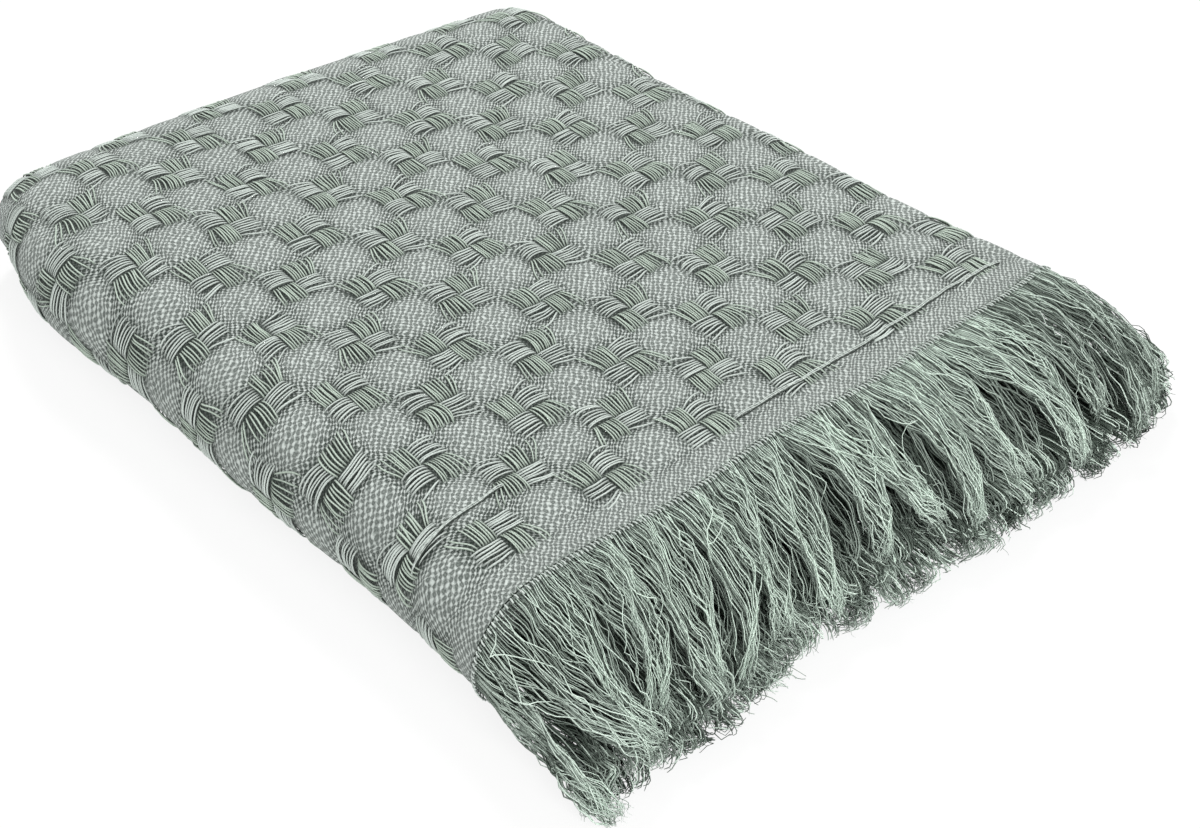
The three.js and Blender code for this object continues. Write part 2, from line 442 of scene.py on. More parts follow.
# the front edge, its right corner, the right side, both back corners, and the left fold
PULLS = (
    Pull(0.0, 0.0055, -0.02, 0.0, 0.072, 0.025),
    Pull(0.011, 0.0, 0.15, 0.30, 0.076, 0.028),
    Pull(0.0048, 0.0055, 0.20, 0.275, -1.0, 0.0),
    Pull(0.0035, 0.0085, 0.115, 0.02, 0.205, 0.285),
    Pull(0.0, 0.0050, 0.22, 0.275, 0.24, 0.285),
    Pull(0.0010, -0.0060, 0.022, -0.002, 0.03, 0.08),
)


@dataclass(frozen=True)
class Honeycomb:
    """The pattern's lattice: swollen ovals of plain weave with baskets of floats between."""

    pitch_across: float = 0.025
    pitch_along: float = 0.0256
    first_row: float = 0.28503
    last_row: float = 10.34
    fade: float = 0.26
    draw: float = 0.0021
    yarns: int = 20

    def yarn(self) -> float:
        """Pitch of the ground's yarns."""
        return self.pitch_across / self.yarns

    def row(self, n: np.ndarray) -> np.ndarray:
        """Row number, whole at a row's middle and growing towards the header."""
        return (self.first_row - n) / self.pitch_along

    def place(self, column: float, row: float) -> tuple[float, float]:
        """Middle of a cell of the lattice."""
        return column * self.pitch_across, self.first_row - row * self.pitch_along

    @staticmethod
    def drift(m: np.ndarray, n: np.ndarray) -> tuple[np.ndarray, np.ndarray]:
        """How far the pattern lies out of line at one of its places.

        Args:
            m: Distance across the straight pattern.
            n: Distance back from the headers.

        Returns:
            The pull across and the pull along.
        """
        shares = [pull.weight(m, n) for pull in PULLS]
        across = sum(pull.across * share for pull, share in zip(PULLS, shares))
        return across, sum(pull.along * share for pull, share in zip(PULLS, shares))

    def straight(self, m: np.ndarray, n: np.ndarray) -> tuple[np.ndarray, np.ndarray]:
        """The place of the pattern that has drifted to a place on the throw.

        Args:
            m: Distance across the throw.
            n: Distance back from the headers.

        Returns:
            The same two distances on the straight pattern.
        """
        a, b = m, n
        for _ in range(ROUNDS):
            across, along = self.drift(a, b)
            a, b = m - across, n - along
        return a, b

    def presence(self, n: np.ndarray) -> np.ndarray:
        """1 in the patterned field and 0 in the plain header."""
        return 1 - ramp(self.row(n), self.last_row, self.fade)

    def swell(self, m: np.ndarray, n: np.ndarray) -> np.ndarray:
        """1 at the middle of an oval and -1 at the middle of a basket."""
        waves = np.cos(math.pi * m / self.pitch_across) * np.cos(math.pi * self.row(n))
        return waves * self.presence(n)

    def drawn(self, m: np.ndarray, n: np.ndarray) -> tuple[np.ndarray, np.ndarray]:
        """How far the yarns are drawn towards the baskets.

        Args:
            m: Distance across the straight pattern.
            n: Distance back from the headers.

        Returns:
            The draw across and the draw along.
        """
        a, b = math.pi * m / self.pitch_across, math.pi * self.row(n)
        size = self.draw * self.presence(n)
        return size * np.sin(a) * np.cos(b), -size * np.cos(a) * np.sin(b)


# ---- Meshes from many strands ---------------------------------------------------------------


@dataclass
class Strands:
    """Yarns that are swept together into one mesh, all with the same number of points.

    The radius, tone, shade and upward direction may be given once or point by point.
    """

    path: np.ndarray
    radius: np.ndarray
    tone: np.ndarray
    shade: np.ndarray
    up: np.ndarray | tuple[float, ...] = (0.0, -0.5, 0.87)

    def __post_init__(self) -> None:
        """Spreads what is given once over every strand and point."""
        places = self.path.shape[:2]
        self.radius = np.broadcast_to(self.radius, places)
        self.tone = np.broadcast_to(self.tone, places[:1])
        self.shade = np.broadcast_to(self.shade, places)
        self.up = np.broadcast_to(self.up, self.path.shape)

    @staticmethod
    def join(parts: list["Strands"]) -> "Strands":
        """Puts several lots with like counts of points together."""
        names = ("path", "radius", "tone", "shade", "up")
        return Strands(*(np.concatenate([getattr(p, n) for p in parts]) for n in names))

    def off_floor(self) -> "Strands":
        """Lifts what would lie in the floor onto it."""
        self.path[..., 2] = np.maximum(self.path[..., 2], self.radius)
        return self

    def mesh(self, name: str, sides: int) -> bpy.types.Mesh:
        """Sweeps a ring of points along each strand and closes its ends.

        Args:
            name: The mesh's name.
            sides: Points round each ring.

        Returns:
            One mesh with a map of yarn coordinates and the tone and shade attributes.
        """
        self.off_floor()
        tangent = self._unit(np.gradient(self.path, axis=1))
        side = self._unit(np.cross(tangent, self.up))
        top = np.cross(side, tangent)
        angle = TURN * np.arange(sides) / sides + math.pi / 2
        ring = np.cos(angle)[:, None] * side[:, :, None] + np.sin(angle)[:, None] * top[:, :, None]
        vertices = self.path[:, :, None] + self.radius[:, :, None, None] * ring
        walls, caps = self._faces(sides)
        sizes = np.concatenate([np.full(walls.size // 4, 4), np.full(caps.size // sides, sides)])
        mesh = bpy.data.meshes.new(name)
        mesh.vertices.add(vertices.size // 3)
        mesh.vertices.foreach_set("co", vertices.astype(np.float32).reshape(-1))
        mesh.loops.add(walls.size + caps.size)
        mesh.loops.foreach_set("vertex_index", np.concatenate([walls, caps]).astype(np.int32))
        mesh.polygons.add(len(sizes))
        starts = np.concatenate([[0], np.cumsum(sizes)[:-1]])
        mesh.polygons.foreach_set("loop_start", starts.astype(np.int32))
        mesh.update(calc_edges=True)
        mesh.shade_smooth()
        self._map(mesh, sides, caps.size)
        whole = vertices.shape[:3]
        add_attribute(mesh, "tone", np.broadcast_to(self.tone[:, None, None], whole))
        add_attribute(mesh, "shade", np.broadcast_to(self.shade[:, :, None], whole))
        return mesh

    @staticmethod
    def _unit(vectors: np.ndarray) -> np.ndarray:
        """The same directions at a length of 1."""
        return vectors / (np.linalg.norm(vectors, axis=-1, keepdims=True) + TINY)

    def _faces(self, sides: int) -> tuple[np.ndarray, np.ndarray]:
        """Corners of the faces along the strands, four to each, and of those that close them.

        Args:
            sides: Points round each ring.

        Returns:
            The corners of the walls and of the caps, face after face.
        """
        count, points = self.path.shape[:2]
        number = np.arange(count * points * sides).reshape(count, points, sides)
        after = np.roll(number, -1, axis=2)
        walls = [number[:, :-1], number[:, 1:], after[:, 1:], after[:, :-1]]
        caps = [number[:, 0], number[:, -1, ::-1]]
        return np.stack(walls, axis=-1).reshape(-1), np.concatenate(caps).reshape(-1)

    def _map(self, mesh: bpy.types.Mesh, sides: int, cap_corners: int) -> None:
        """Adds the map: round the yarn from 0 to 1, and along it in metres.

        Args:
            mesh: The swept mesh.
            sides: Points round each ring.
            cap_corners: How many corners the end faces have, which keep 0.
        """
        count, points = self.path.shape[:2]
        step = np.linalg.norm(np.diff(self.path, axis=1), axis=-1)
        run = np.concatenate([np.zeros((count, 1)), np.cumsum(step, axis=1)], axis=1)
        run = np.broadcast_to(run[:, :, None], (count, points, sides))
        turn = np.broadcast_to(np.arange(sides) / sides, (count, points - 1, sides))
        here, ahead = run[:, :-1], run[:, 1:]
        round_yarn = np.stack([turn, turn, turn + 1 / sides, turn + 1 / sides], axis=-1)
        along_yarn = np.stack([here, ahead, ahead, here], axis=-1)
        pairs = np.stack([round_yarn, along_yarn], axis=-1).reshape(-1)
        pairs = np.concatenate([pairs, np.zeros(2 * cap_corners)])
        layer = mesh.uv_layers.new(name="yarn")
        layer.data.foreach_set("uv", pairs.astype(np.float32))


def add_attribute(mesh: bpy.types.Mesh, name: str, values: np.ndarray) -> None:
    """Keeps a number at each of a mesh's points."""
    layer = mesh.attributes.new(name, "FLOAT", "POINT")
    layer.data.foreach_set("value", values.astype(np.float32).reshape(-1))


def add_piece(mesh: bpy.types.Mesh, material: bpy.types.Material) -> bpy.types.Object:
    """Puts a mesh in the scene as a piece of the throw.

    Args:
        mesh: The finished mesh.
        material: Its finish.

    Returns:
        The new object, riding on the throw's body.
    """
    piece = bpy.data.objects.new(mesh.name, mesh)
    bpy.context.scene.collection.objects.link(piece)
    mesh.materials.append(material)
    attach(piece, BODY)
    log.info("%s: %d faces", piece.name, len(mesh.polygons))
    return piece


# ---- Finishes -------------------------------------------------------------------------------


class Signal:
    """A number in a node tree, a link or a constant, on which arithmetic adds Math nodes."""

    def __init__(self, tree: "Tree", source: object):
        """Keeps the tree and the socket or number."""
        self.tree = tree
        self.source = source

    def math(self, operation: str, *others: object, clamp: bool = False) -> "Signal":
        """Adds one Math node on this value and others.

        Args:
            operation: The node's operation.
            others: Further numbers or signals.
            clamp: Whether the result is kept from 0 to 1.

        Returns:
            The result.
        """
        values = dict(enumerate((self, *others)))
        settings = {"operation": operation, "use_clamp": clamp}
        node = self.tree.node("ShaderNodeMath", settings, values)
        return Signal(self.tree, node.outputs[0])

    def __add__(self, other: object) -> "Signal":
        """Sum."""
        return self.math("ADD", other)

    __radd__ = __add__

    def __mul__(self, other: object) -> "Signal":
        """Product."""
        return self.math("MULTIPLY", other)

    __rmul__ = __mul__

    def __sub__(self, other: object) -> "Signal":
        """Difference."""
        return self.math("SUBTRACT", other)

    def __rsub__(self, other: object) -> "Signal":
        """Difference the other way round."""
        return Signal(self.tree, other).math("SUBTRACT", self)

    def sine(self) -> "Signal":
        """Sine of an angle in radians."""
        return self.math("SINE")

    def cosine(self) -> "Signal":
        """Cosine of an angle in radians."""
        return self.math("COSINE")

    def floor(self) -> "Signal":
        """Whole part."""
        return self.math("FLOOR")

    def highest(self, other: object) -> "Signal":
        """The greater of two values."""
        return self.math("MAXIMUM", other)

    def clamp(self) -> "Signal":
        """Kept from 0 to 1."""
        return self.math("ADD", 0.0, clamp=True)


class Tree:
    """The nodes of one material, or of the world."""

    def __init__(self, owner: bpy.types.Material | bpy.types.World):
        """Empties a material's or a world's nodes.

        Args:
            owner: The material or world.
        """
        owner.use_nodes = True
        self.owner = owner
        self.tree = owner.node_tree
        self.tree.nodes.clear()

    def node(self, kind: str, settings: dict, inputs: dict) -> bpy.types.Node:
        """Adds a node.

        Args:
            kind: The node's type.
            settings: Its properties, set first.
            inputs: Numbers, colours, sockets or signals by socket name or index.

        Returns:
            The new node.
        """
        made = self.tree.nodes.new(kind)
        for key, value in settings.items():
            setattr(made, key, value)
        for key, value in inputs.items():
            value = value.source if isinstance(value, Signal) else value
            if isinstance(value, bpy.types.NodeSocket):
                self.tree.links.new(value, made.inputs[key])
            else:
                made.inputs[key].default_value = value
        return made

    def attribute(self, name: str) -> Signal:
        """A number kept at the mesh's points."""
        kept = self.node("ShaderNodeAttribute", {"attribute_name": name}, {})
        return Signal(self, kept.outputs["Fac"])

    def map(self, name: str) -> tuple[Signal, Signal]:
        """Reads a named map.

        Args:
            name: The map's name.

        Returns:
            Its two coordinates.
        """
        place = self.node("ShaderNodeUVMap", {"uv_map": name}, {}).outputs[0]
        split = self.node("ShaderNodeSeparateXYZ", {}, {0: place})
        return Signal(self, split.outputs[0]), Signal(self, split.outputs[1])

    def vector(self, x: object, y: object, z: object = 0.0) -> bpy.types.NodeSocket:
        """Joins three numbers."""
        return self.node("ShaderNodeCombineXYZ", {}, {0: x, 1: y, 2: z}).outputs[0]

    def noise(self, where: bpy.types.NodeSocket, scale: float, detail: float = 2.0) -> Signal:
        """Smooth noise about 0.5 at a place."""
        inputs = {"Vector": where, "Scale": scale, "Detail": detail, "Roughness": 0.55}
        return Signal(self, self.node("ShaderNodeTexNoise", {}, inputs).outputs[0])

    def mix(self, share: object, low: object, high: object) -> bpy.types.NodeSocket:
        """Blends two colours.

        Args:
            share: 0 gives the first and 1 the second.
            low: First colour.
            high: Second colour.

        Returns:
            The blended colour.
        """
        made = self.node("ShaderNodeMix", {"data_type": "RGBA"}, {0: share, 6: low, 7: high})
        return made.outputs[2]

    def blend(self, share: object, first: bpy.types.Node, second: bpy.types.Node) -> bpy.types.Node:
        """Blends two shaders by a share: 0 gives the first and 1 the second."""
        inputs = {0: share, 1: first.outputs[0], 2: second.outputs[0]}
        return self.node("ShaderNodeMixShader", {}, inputs)

    def finish(
        self, colour: object, roughness: float, height: Signal, bump: float, sheen: float
    ) -> bpy.types.Material:
        """Ends the tree in a cloth surface.

        Args:
            colour: Base colour.
            roughness: Roughness.
            height: Relief in metres.
            bump: The relief's strength.
            sheen: Weight of the soft sheen of loose fibres.

        Returns:
            The finished material.
        """
        relief = {"Strength": bump, "Distance": 1.0, "Height": height}
        surface = {
            "Base Color": colour,
            "Roughness": roughness,
            "Normal": self.node("ShaderNodeBump", {}, relief).outputs[0],
            "Specular IOR Level": 0.25,
            "Sheen Weight": sheen,
            "Sheen Roughness": 0.5,
        }
        yarn = self.node("ShaderNodeBsdfPrincipled", {}, surface)
        self.node("ShaderNodeOutputMaterial", {}, {"Surface": yarn.outputs[0]})
        return self.owner


Colour = tuple[float, float, float, float]
WHITE = (1.0, 1.0, 1.0, 1.0)


def srgb(red: int, green: int, blue: int) -> Colour:
    """Turns a colour as it shows on a screen into the shader's linear one.

    Args:
        red: Red, from 0 to 255.
        green: Green.
        blue: Blue.

    Returns:
        The colour with its alpha.
    """
    values = []
    for part in (red, green, blue):
        share = part / 255
        values.append(share / 12.92 if share <= 0.04045 else ((share + 0.055) / 1.055) ** 2.4)
    return (*values, 1.0)


@dataclass(frozen=True)
class GroundFinish:
    """The plain weave: one yarn over and one under, cell by cell of the yarn map, with painted
    shade in its gaps, round the ovals' rims and under the floats.
    """

    light: Colour = srgb(201, 209, 204)
    dark: Colour = srgb(42, 55, 47)
    relief: float = 0.0007
    bump: float = 1.0
    roughness: float = 0.9
    sheen: float = 0.15

    # how the yarns wander, across and along: the scale and the size of each wave
    wander_across: tuple[Pair, ...] = ((0.22, 2.6), (1.1, 0.9))
    wander_along: tuple[Pair, ...] = ((0.31, 2.6), (1.4, 0.9))

    # the two diagonals of the crossings, and how each yarn stands out from them
    rising: float = 0.52
    falling: float = 0.4
    weft_gain: float = 0.9
    weft_level: float = 0.42
    warp_gain: float = -0.8
    warp_drop: float = 0.35
    warp_height: float = 0.5

    # steps of the noise from yarn to yarn and from knot to knot, and its scale along a yarn
    yarn_steps: Pair = (3.1, 2.7)
    knot_steps: Pair = (1.7, 1.3)
    slub_scale: float = 0.08
    patch_scale: float = 0.09
    fibre_scale: float = 6.0
    fibre: float = 0.15

    # what the tone is made of, and how deep the painted shade is in the gaps between crossings,
    # round the domes' rims and under the floats
    base_tone: float = 0.14
    yarn_tone: float = 1.5
    patch_tone: float = 0.3
    gap_shade_depth: float = 0.85
    rim_shade_depth: float = 0.25
    shade_under_floats_depth: float = 0.85

    def build(self) -> bpy.types.Material:
        """Makes the material.

        Returns:
            The plain weave.
        """
        tree = Tree(bpy.data.materials.new("plain_weave"))
        across, along = tree.map("cloth")
        place = tree.vector(across, along)
        u = self._wander(tree, place, across, self.wander_across)
        v = self._wander(tree, place, along, self.wander_along)
        height = self._relief(u, v)
        tone = self._yarn_tone(tree, (across, along), (u, v))
        patch = tree.noise(place, self.patch_scale)
        # painted shade: darker gaps between crossings, deeper round the domes' rims, and the ground
        # under the floats darker still
        shade_under_floats, rim_shade = tree.attribute("shade_under_floats"), tree.attribute("rim_shade")
        lit = 1 - (1 - height) * (self.gap_shade_depth + self.rim_shade_depth * rim_shade)
        shade = lit * (self.base_tone + self.yarn_tone * tone + self.patch_tone * patch)
        shade = shade * (1 - self.shade_under_floats_depth * shade_under_floats)
        colour = tree.mix(shade.clamp(), self.dark, self.light)
        fibre = tree.noise(place, self.fibre_scale, 3.0) * self.fibre
        relief = (height + fibre) * self.relief
        return tree.finish(colour, self.roughness, relief, self.bump, self.sheen)

    @staticmethod
    def _wander(
        tree: Tree, place: bpy.types.NodeSocket, line: Signal, waves: tuple[Pair, ...]
    ) -> Signal:
        """Lets the yarns wander off their straight lines.

        Args:
            tree: The material's nodes.
            place: The place on the map.
            line: The coordinate that counts the yarns.
            waves: Scale and size of each wave.

        Returns:
            The wandering coordinate.
        """
        for scale, size in waves:
            line = line + (tree.noise(place, scale) - 0.5) * size
        return line

    def _relief(self, u: Signal, v: Signal) -> Signal:
        """The crossings: a tall weft or a lower warp on every second place.

        Args:
            u: Yarns across.
            v: Yarns along.

        Returns:
            The height, from 0 to 1.
        """
        crossing = ((u - v) * math.pi).cosine() * self.rising
        crossing = crossing - ((u + v) * math.pi).cosine() * self.falling
        weft = (crossing * self.weft_gain + self.weft_level).clamp()
        warp = (crossing * self.warp_gain - self.warp_drop).clamp()
        return weft.highest(warp * self.warp_height)

    def _yarn_tone(
        self, tree: Tree, straight: tuple[Signal, Signal], yarns: tuple[Signal, Signal]
    ) -> Signal:
        """Thick and thin places of each yarn, and a tone of its own for each crossing.

        Args:
            tree: The material's nodes.
            straight: The map's coordinates.
            yarns: The wandering ones.

        Returns:
            The tone, about 0.5.
        """
        warp, weft = (yarn.floor() for yarn in yarns)
        across, along = (line * self.slub_scale for line in straight)
        warp_slub = tree.noise(tree.vector(warp * self.yarn_steps[0], along), 1.0)
        weft_slub = tree.noise(tree.vector(across, weft * self.yarn_steps[1]), 1.0)
        knots = tree.vector(warp * self.knot_steps[0], weft * self.knot_steps[1])
        return (warp_slub + weft_slub + 2 * tree.noise(knots, 1.0)) * 0.25


@dataclass(frozen=True)
class YarnFinish:
    """Loose twisted yarn: floats, fringe and its frayed ends. Its top is painted light and its
    flanks painted in shade.
    """

    name: str
    light: Colour
    dark: Colour
    painted_flank_shade: float = 0.7
    twist: float = 0.0016
    relief: float = 0.00012
    bump: float = 0.8
    roughness: float = 0.9
    sheen: float = 0.08

    # scales of the noise: fibres round and along the yarn, and thick places along it
    fibre_turn: float = 6.0
    fibre_run: float = 900.0
    slub_run: float = 120.0

    # what the tone is made of
    base_tone: float = 0.55
    ply_tone: float = 0.12
    fibre_tone: float = 0.3
    slub_tone: float = 0.3

    def build(self) -> bpy.types.Material:
        """Makes the material.

        Returns:
            The yarn.
        """
        tree = Tree(bpy.data.materials.new(self.name))
        turn, run = tree.map("yarn")
        # a painted highlight along each yarn's top and painted shade on its flanks, by the turn
        # round it
        painted_crest_light = ((turn + 0.25) * TURN).sine() * 0.5 + 0.5
        ply = ((turn * 2 + run * (1 / self.twist)) * TURN).sine() * 0.5 + 0.5
        fibres = tree.vector(turn * self.fibre_turn, run * self.fibre_run)
        fibre = tree.noise(fibres, 1.0, 3.0)
        slub = tree.noise(tree.vector(turn, run * self.slub_run), 1.0)
        light = self.base_tone + self.ply_tone * ply + self.fibre_tone * fibre
        light = (light + self.slub_tone * slub) * tree.attribute("tone")
        light = light * (1 - tree.attribute("shade"))
        light = light * ((1 - self.painted_flank_shade) + self.painted_flank_shade * painted_crest_light)
        colour = tree.mix(light.clamp(), self.dark, self.light)
        relief = (ply + fibre) * self.relief
        return tree.finish(colour, self.roughness, relief, self.bump, self.sheen)


# ---- The cloth ------------------------------------------------------------------------------


@dataclass
class Cloth:
    """The woven sheet itself: the plain ground, swollen between the baskets."""

    throw: FoldedThrow
    weave: Honeycomb
    thickness: float = 0.0016
    base_lift: float = -0.0006
    dome: float = 0.00105
    fine_step: float = 0.0031
    coarse_step: float = 0.0075

    # how soon past the back fold the pattern starts, how the ground rises to a dome in it, and
    # where painted shade darkens it: under the floats and round the domes' rims
    pattern_start: float = 0.004
    least_presence: float = 0.05
    dome_rise: Pair = (0.02, 0.6)
    dome_power: float = 0.7
    shade_under_floats_rise: Pair = (0.04, 0.2)
    rim_shade_rise: Pair = (-0.34, 0.3)

    def build(self) -> bpy.types.Object:
        """Makes the sheet from a grid laid along both folds.

        Returns:
            The cloth, a closed sheet that stands for its solid.
        """
        us = self.throw.across.stations(self._steps_across())
        vs = self.throw.along.stations(self._steps_along())
        shape = bmesh.new()
        bmesh.ops.create_grid(shape, x_segments=len(us) - 1, y_segments=len(vs) - 1, size=1.0)
        place = np.array([vertex.co[:2] for vertex in shape.verts])
        columns = np.rint((place[:, 0] + 1) / 2 * (len(us) - 1)).astype(int)
        rows = np.rint((place[:, 1] + 1) / 2 * (len(vs) - 1)).astype(int)
        mesh = bpy.data.meshes.new("cloth")
        shape.to_mesh(mesh)
        shape.free()
        u, v = us[columns], vs[rows]
        m, n = self.weave.straight(*self.throw.lattice(u, v))
        swell = self.weave.swell(m, n)
        outer = ramp(v, self.throw.along.span("outer back")[0], self.pattern_start)
        present = self.weave.presence(n)
        full = swell / np.maximum(present, self.least_presence)
        level = ramp(full, *self.dome_rise) ** self.dome_power
        lift = self.base_lift + self.dome * lerp(1.0, level, present)
        points = self.throw.point(u, v, -lift * outer)
        points[..., 2] = np.maximum(points[..., 2], self.thickness / 2)
        mesh.vertices.foreach_set("co", points.astype(np.float32).reshape(-1))
        self._map(mesh, m, n)
        shown = outer * present
        # where painted shade darkens the ground: under the floats and round the domes' rims
        add_attribute(mesh, "shade_under_floats", ramp(-swell, *self.shade_under_floats_rise) * shown)
        add_attribute(mesh, "rim_shade", ramp(-swell, *self.rim_shade_rise) * shown)
        mesh.update()
        mesh.shade_smooth()
        piece = add_piece(mesh, GroundFinish().build())
        solidify = piece.modifiers.new("thickness", "SOLIDIFY")
        solidify.thickness = self.thickness
        solidify.offset = 0
        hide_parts("woven_cloth")
        return piece

    def _steps_across(self) -> dict[str, int]:
        """Divides the stretches across: finely where the cloth shows.

        Returns:
            The steps of each stretch.
        """
        run, throw = self.throw.run, self.throw
        return {
            "bottom edge": 2,
            "bottom group": round(run / self.coarse_step),
            "wide fold": round(math.pi * throw.wide_radius / self.fine_step),
            "top group": round(run / self.fine_step),
            "crease": round(math.pi * throw.crease_radius / self.fine_step) + 1,
            "third group": 14,
            "inner fold": 6,
            "second group": 14,
            "second edge": 2,
        }

    def _steps_along(self) -> dict[str, int]:
        """Divides the stretches along: finely on the outer layer.

        Returns:
            The steps of each stretch.
        """
        return {
            "inner layer": 13,
            "inner back": 4,
            "second layer": 13,
            "front fold": 4,
            "third layer": 13,
            "outer back": 5,
            "outer layer": round(self.throw.layer_length / self.fine_step),
        }

    def _map(self, mesh: bpy.types.Mesh, m: np.ndarray, n: np.ndarray) -> None:
        """Adds the map in yarns, with the yarns drawn towards the baskets.

        Args:
            mesh: The sheet.
            m: Each point's distance across the pattern.
            n: And along it.
        """
        draw_m, draw_n = self.weave.drawn(m, n)
        pitch = self.weave.yarn()
        yarns = np.stack([(m - draw_m) / pitch, (n - draw_n) / pitch], axis=-1)
        corner = np.empty(len(mesh.loops), np.int32)
        mesh.loops.foreach_get("vertex_index", corner)
        layer = mesh.uv_layers.new(name="cloth")
        layer.data.foreach_set("uv", yarns[corner].astype(np.float32).reshape(-1))


# ---- The floating yarns ---------------------------------------------------------------------


class Thread(Enum):
    """Which set of yarns floats in a block of a basket."""

    WARP = "warp"
    WEFT = "weft"


class Place(Enum):
    """Where on the stack a basket lies."""

    ON_TOP = "on_top"
    ROUND_FOLDS = "round_folds"
    UNDERNEATH = "underneath"


@dataclass(frozen=True)
class Block:
    """One block of a basket: yarns that float side by side, and how far they fan and rise."""

    thread: Thread
    strands: int
    radius: float
    reach: float
    fan: Pair
    crown: float
    tone: float


WARP_BLOCK = Block(Thread.WARP, 9, 0.00037, 0.0138, (0.1, 0.6), 0.00135, 1.14)
WEFT_BLOCK = Block(Thread.WEFT, 7, 0.00043, 0.0130, (0.05, 0.4), 0.0012, 1.16)


@dataclass
class OuterYarns:
    """Yarns that lie over the outer layer of the cloth."""

    throw: FoldedThrow
    weave: Honeycomb
    random: np.random.Generator

    def on_cloth(
        self, cloth: tuple[np.ndarray, np.ndarray], lift: np.ndarray, *look: np.ndarray | float
    ) -> Strands:
        """Lays strands over places of the cloth.

        Args:
            cloth: The places across and along the cloth.
            lift: Their height over the cloth's middle.
            look: Radius, tone and shade.

        Returns:
            The strands, with the cloth's outward direction as their upward one.
        """
        path = self.throw.point(*cloth, -lift)
        return Strands(path, *look, self.throw.point(*cloth, -lift - PROBE) - path)

    def on_pattern(
        self, m: np.ndarray, n: np.ndarray, lift: np.ndarray, *look: np.ndarray | float
    ) -> Strands:
        """Lays strands over places of the pattern, as far as it is pulled out of line there.

        Args:
            m: Distance across the straight pattern.
            n: Distance back from the headers.
            lift: Their height over the cloth's middle.
            look: Radius, tone and shade.

        Returns:
            The strands.
        """
        drift_m, drift_n = self.weave.drift(m, n)
        return self.on_cloth(self.throw.cloth_at(m + drift_m, n + drift_n), lift, *look)


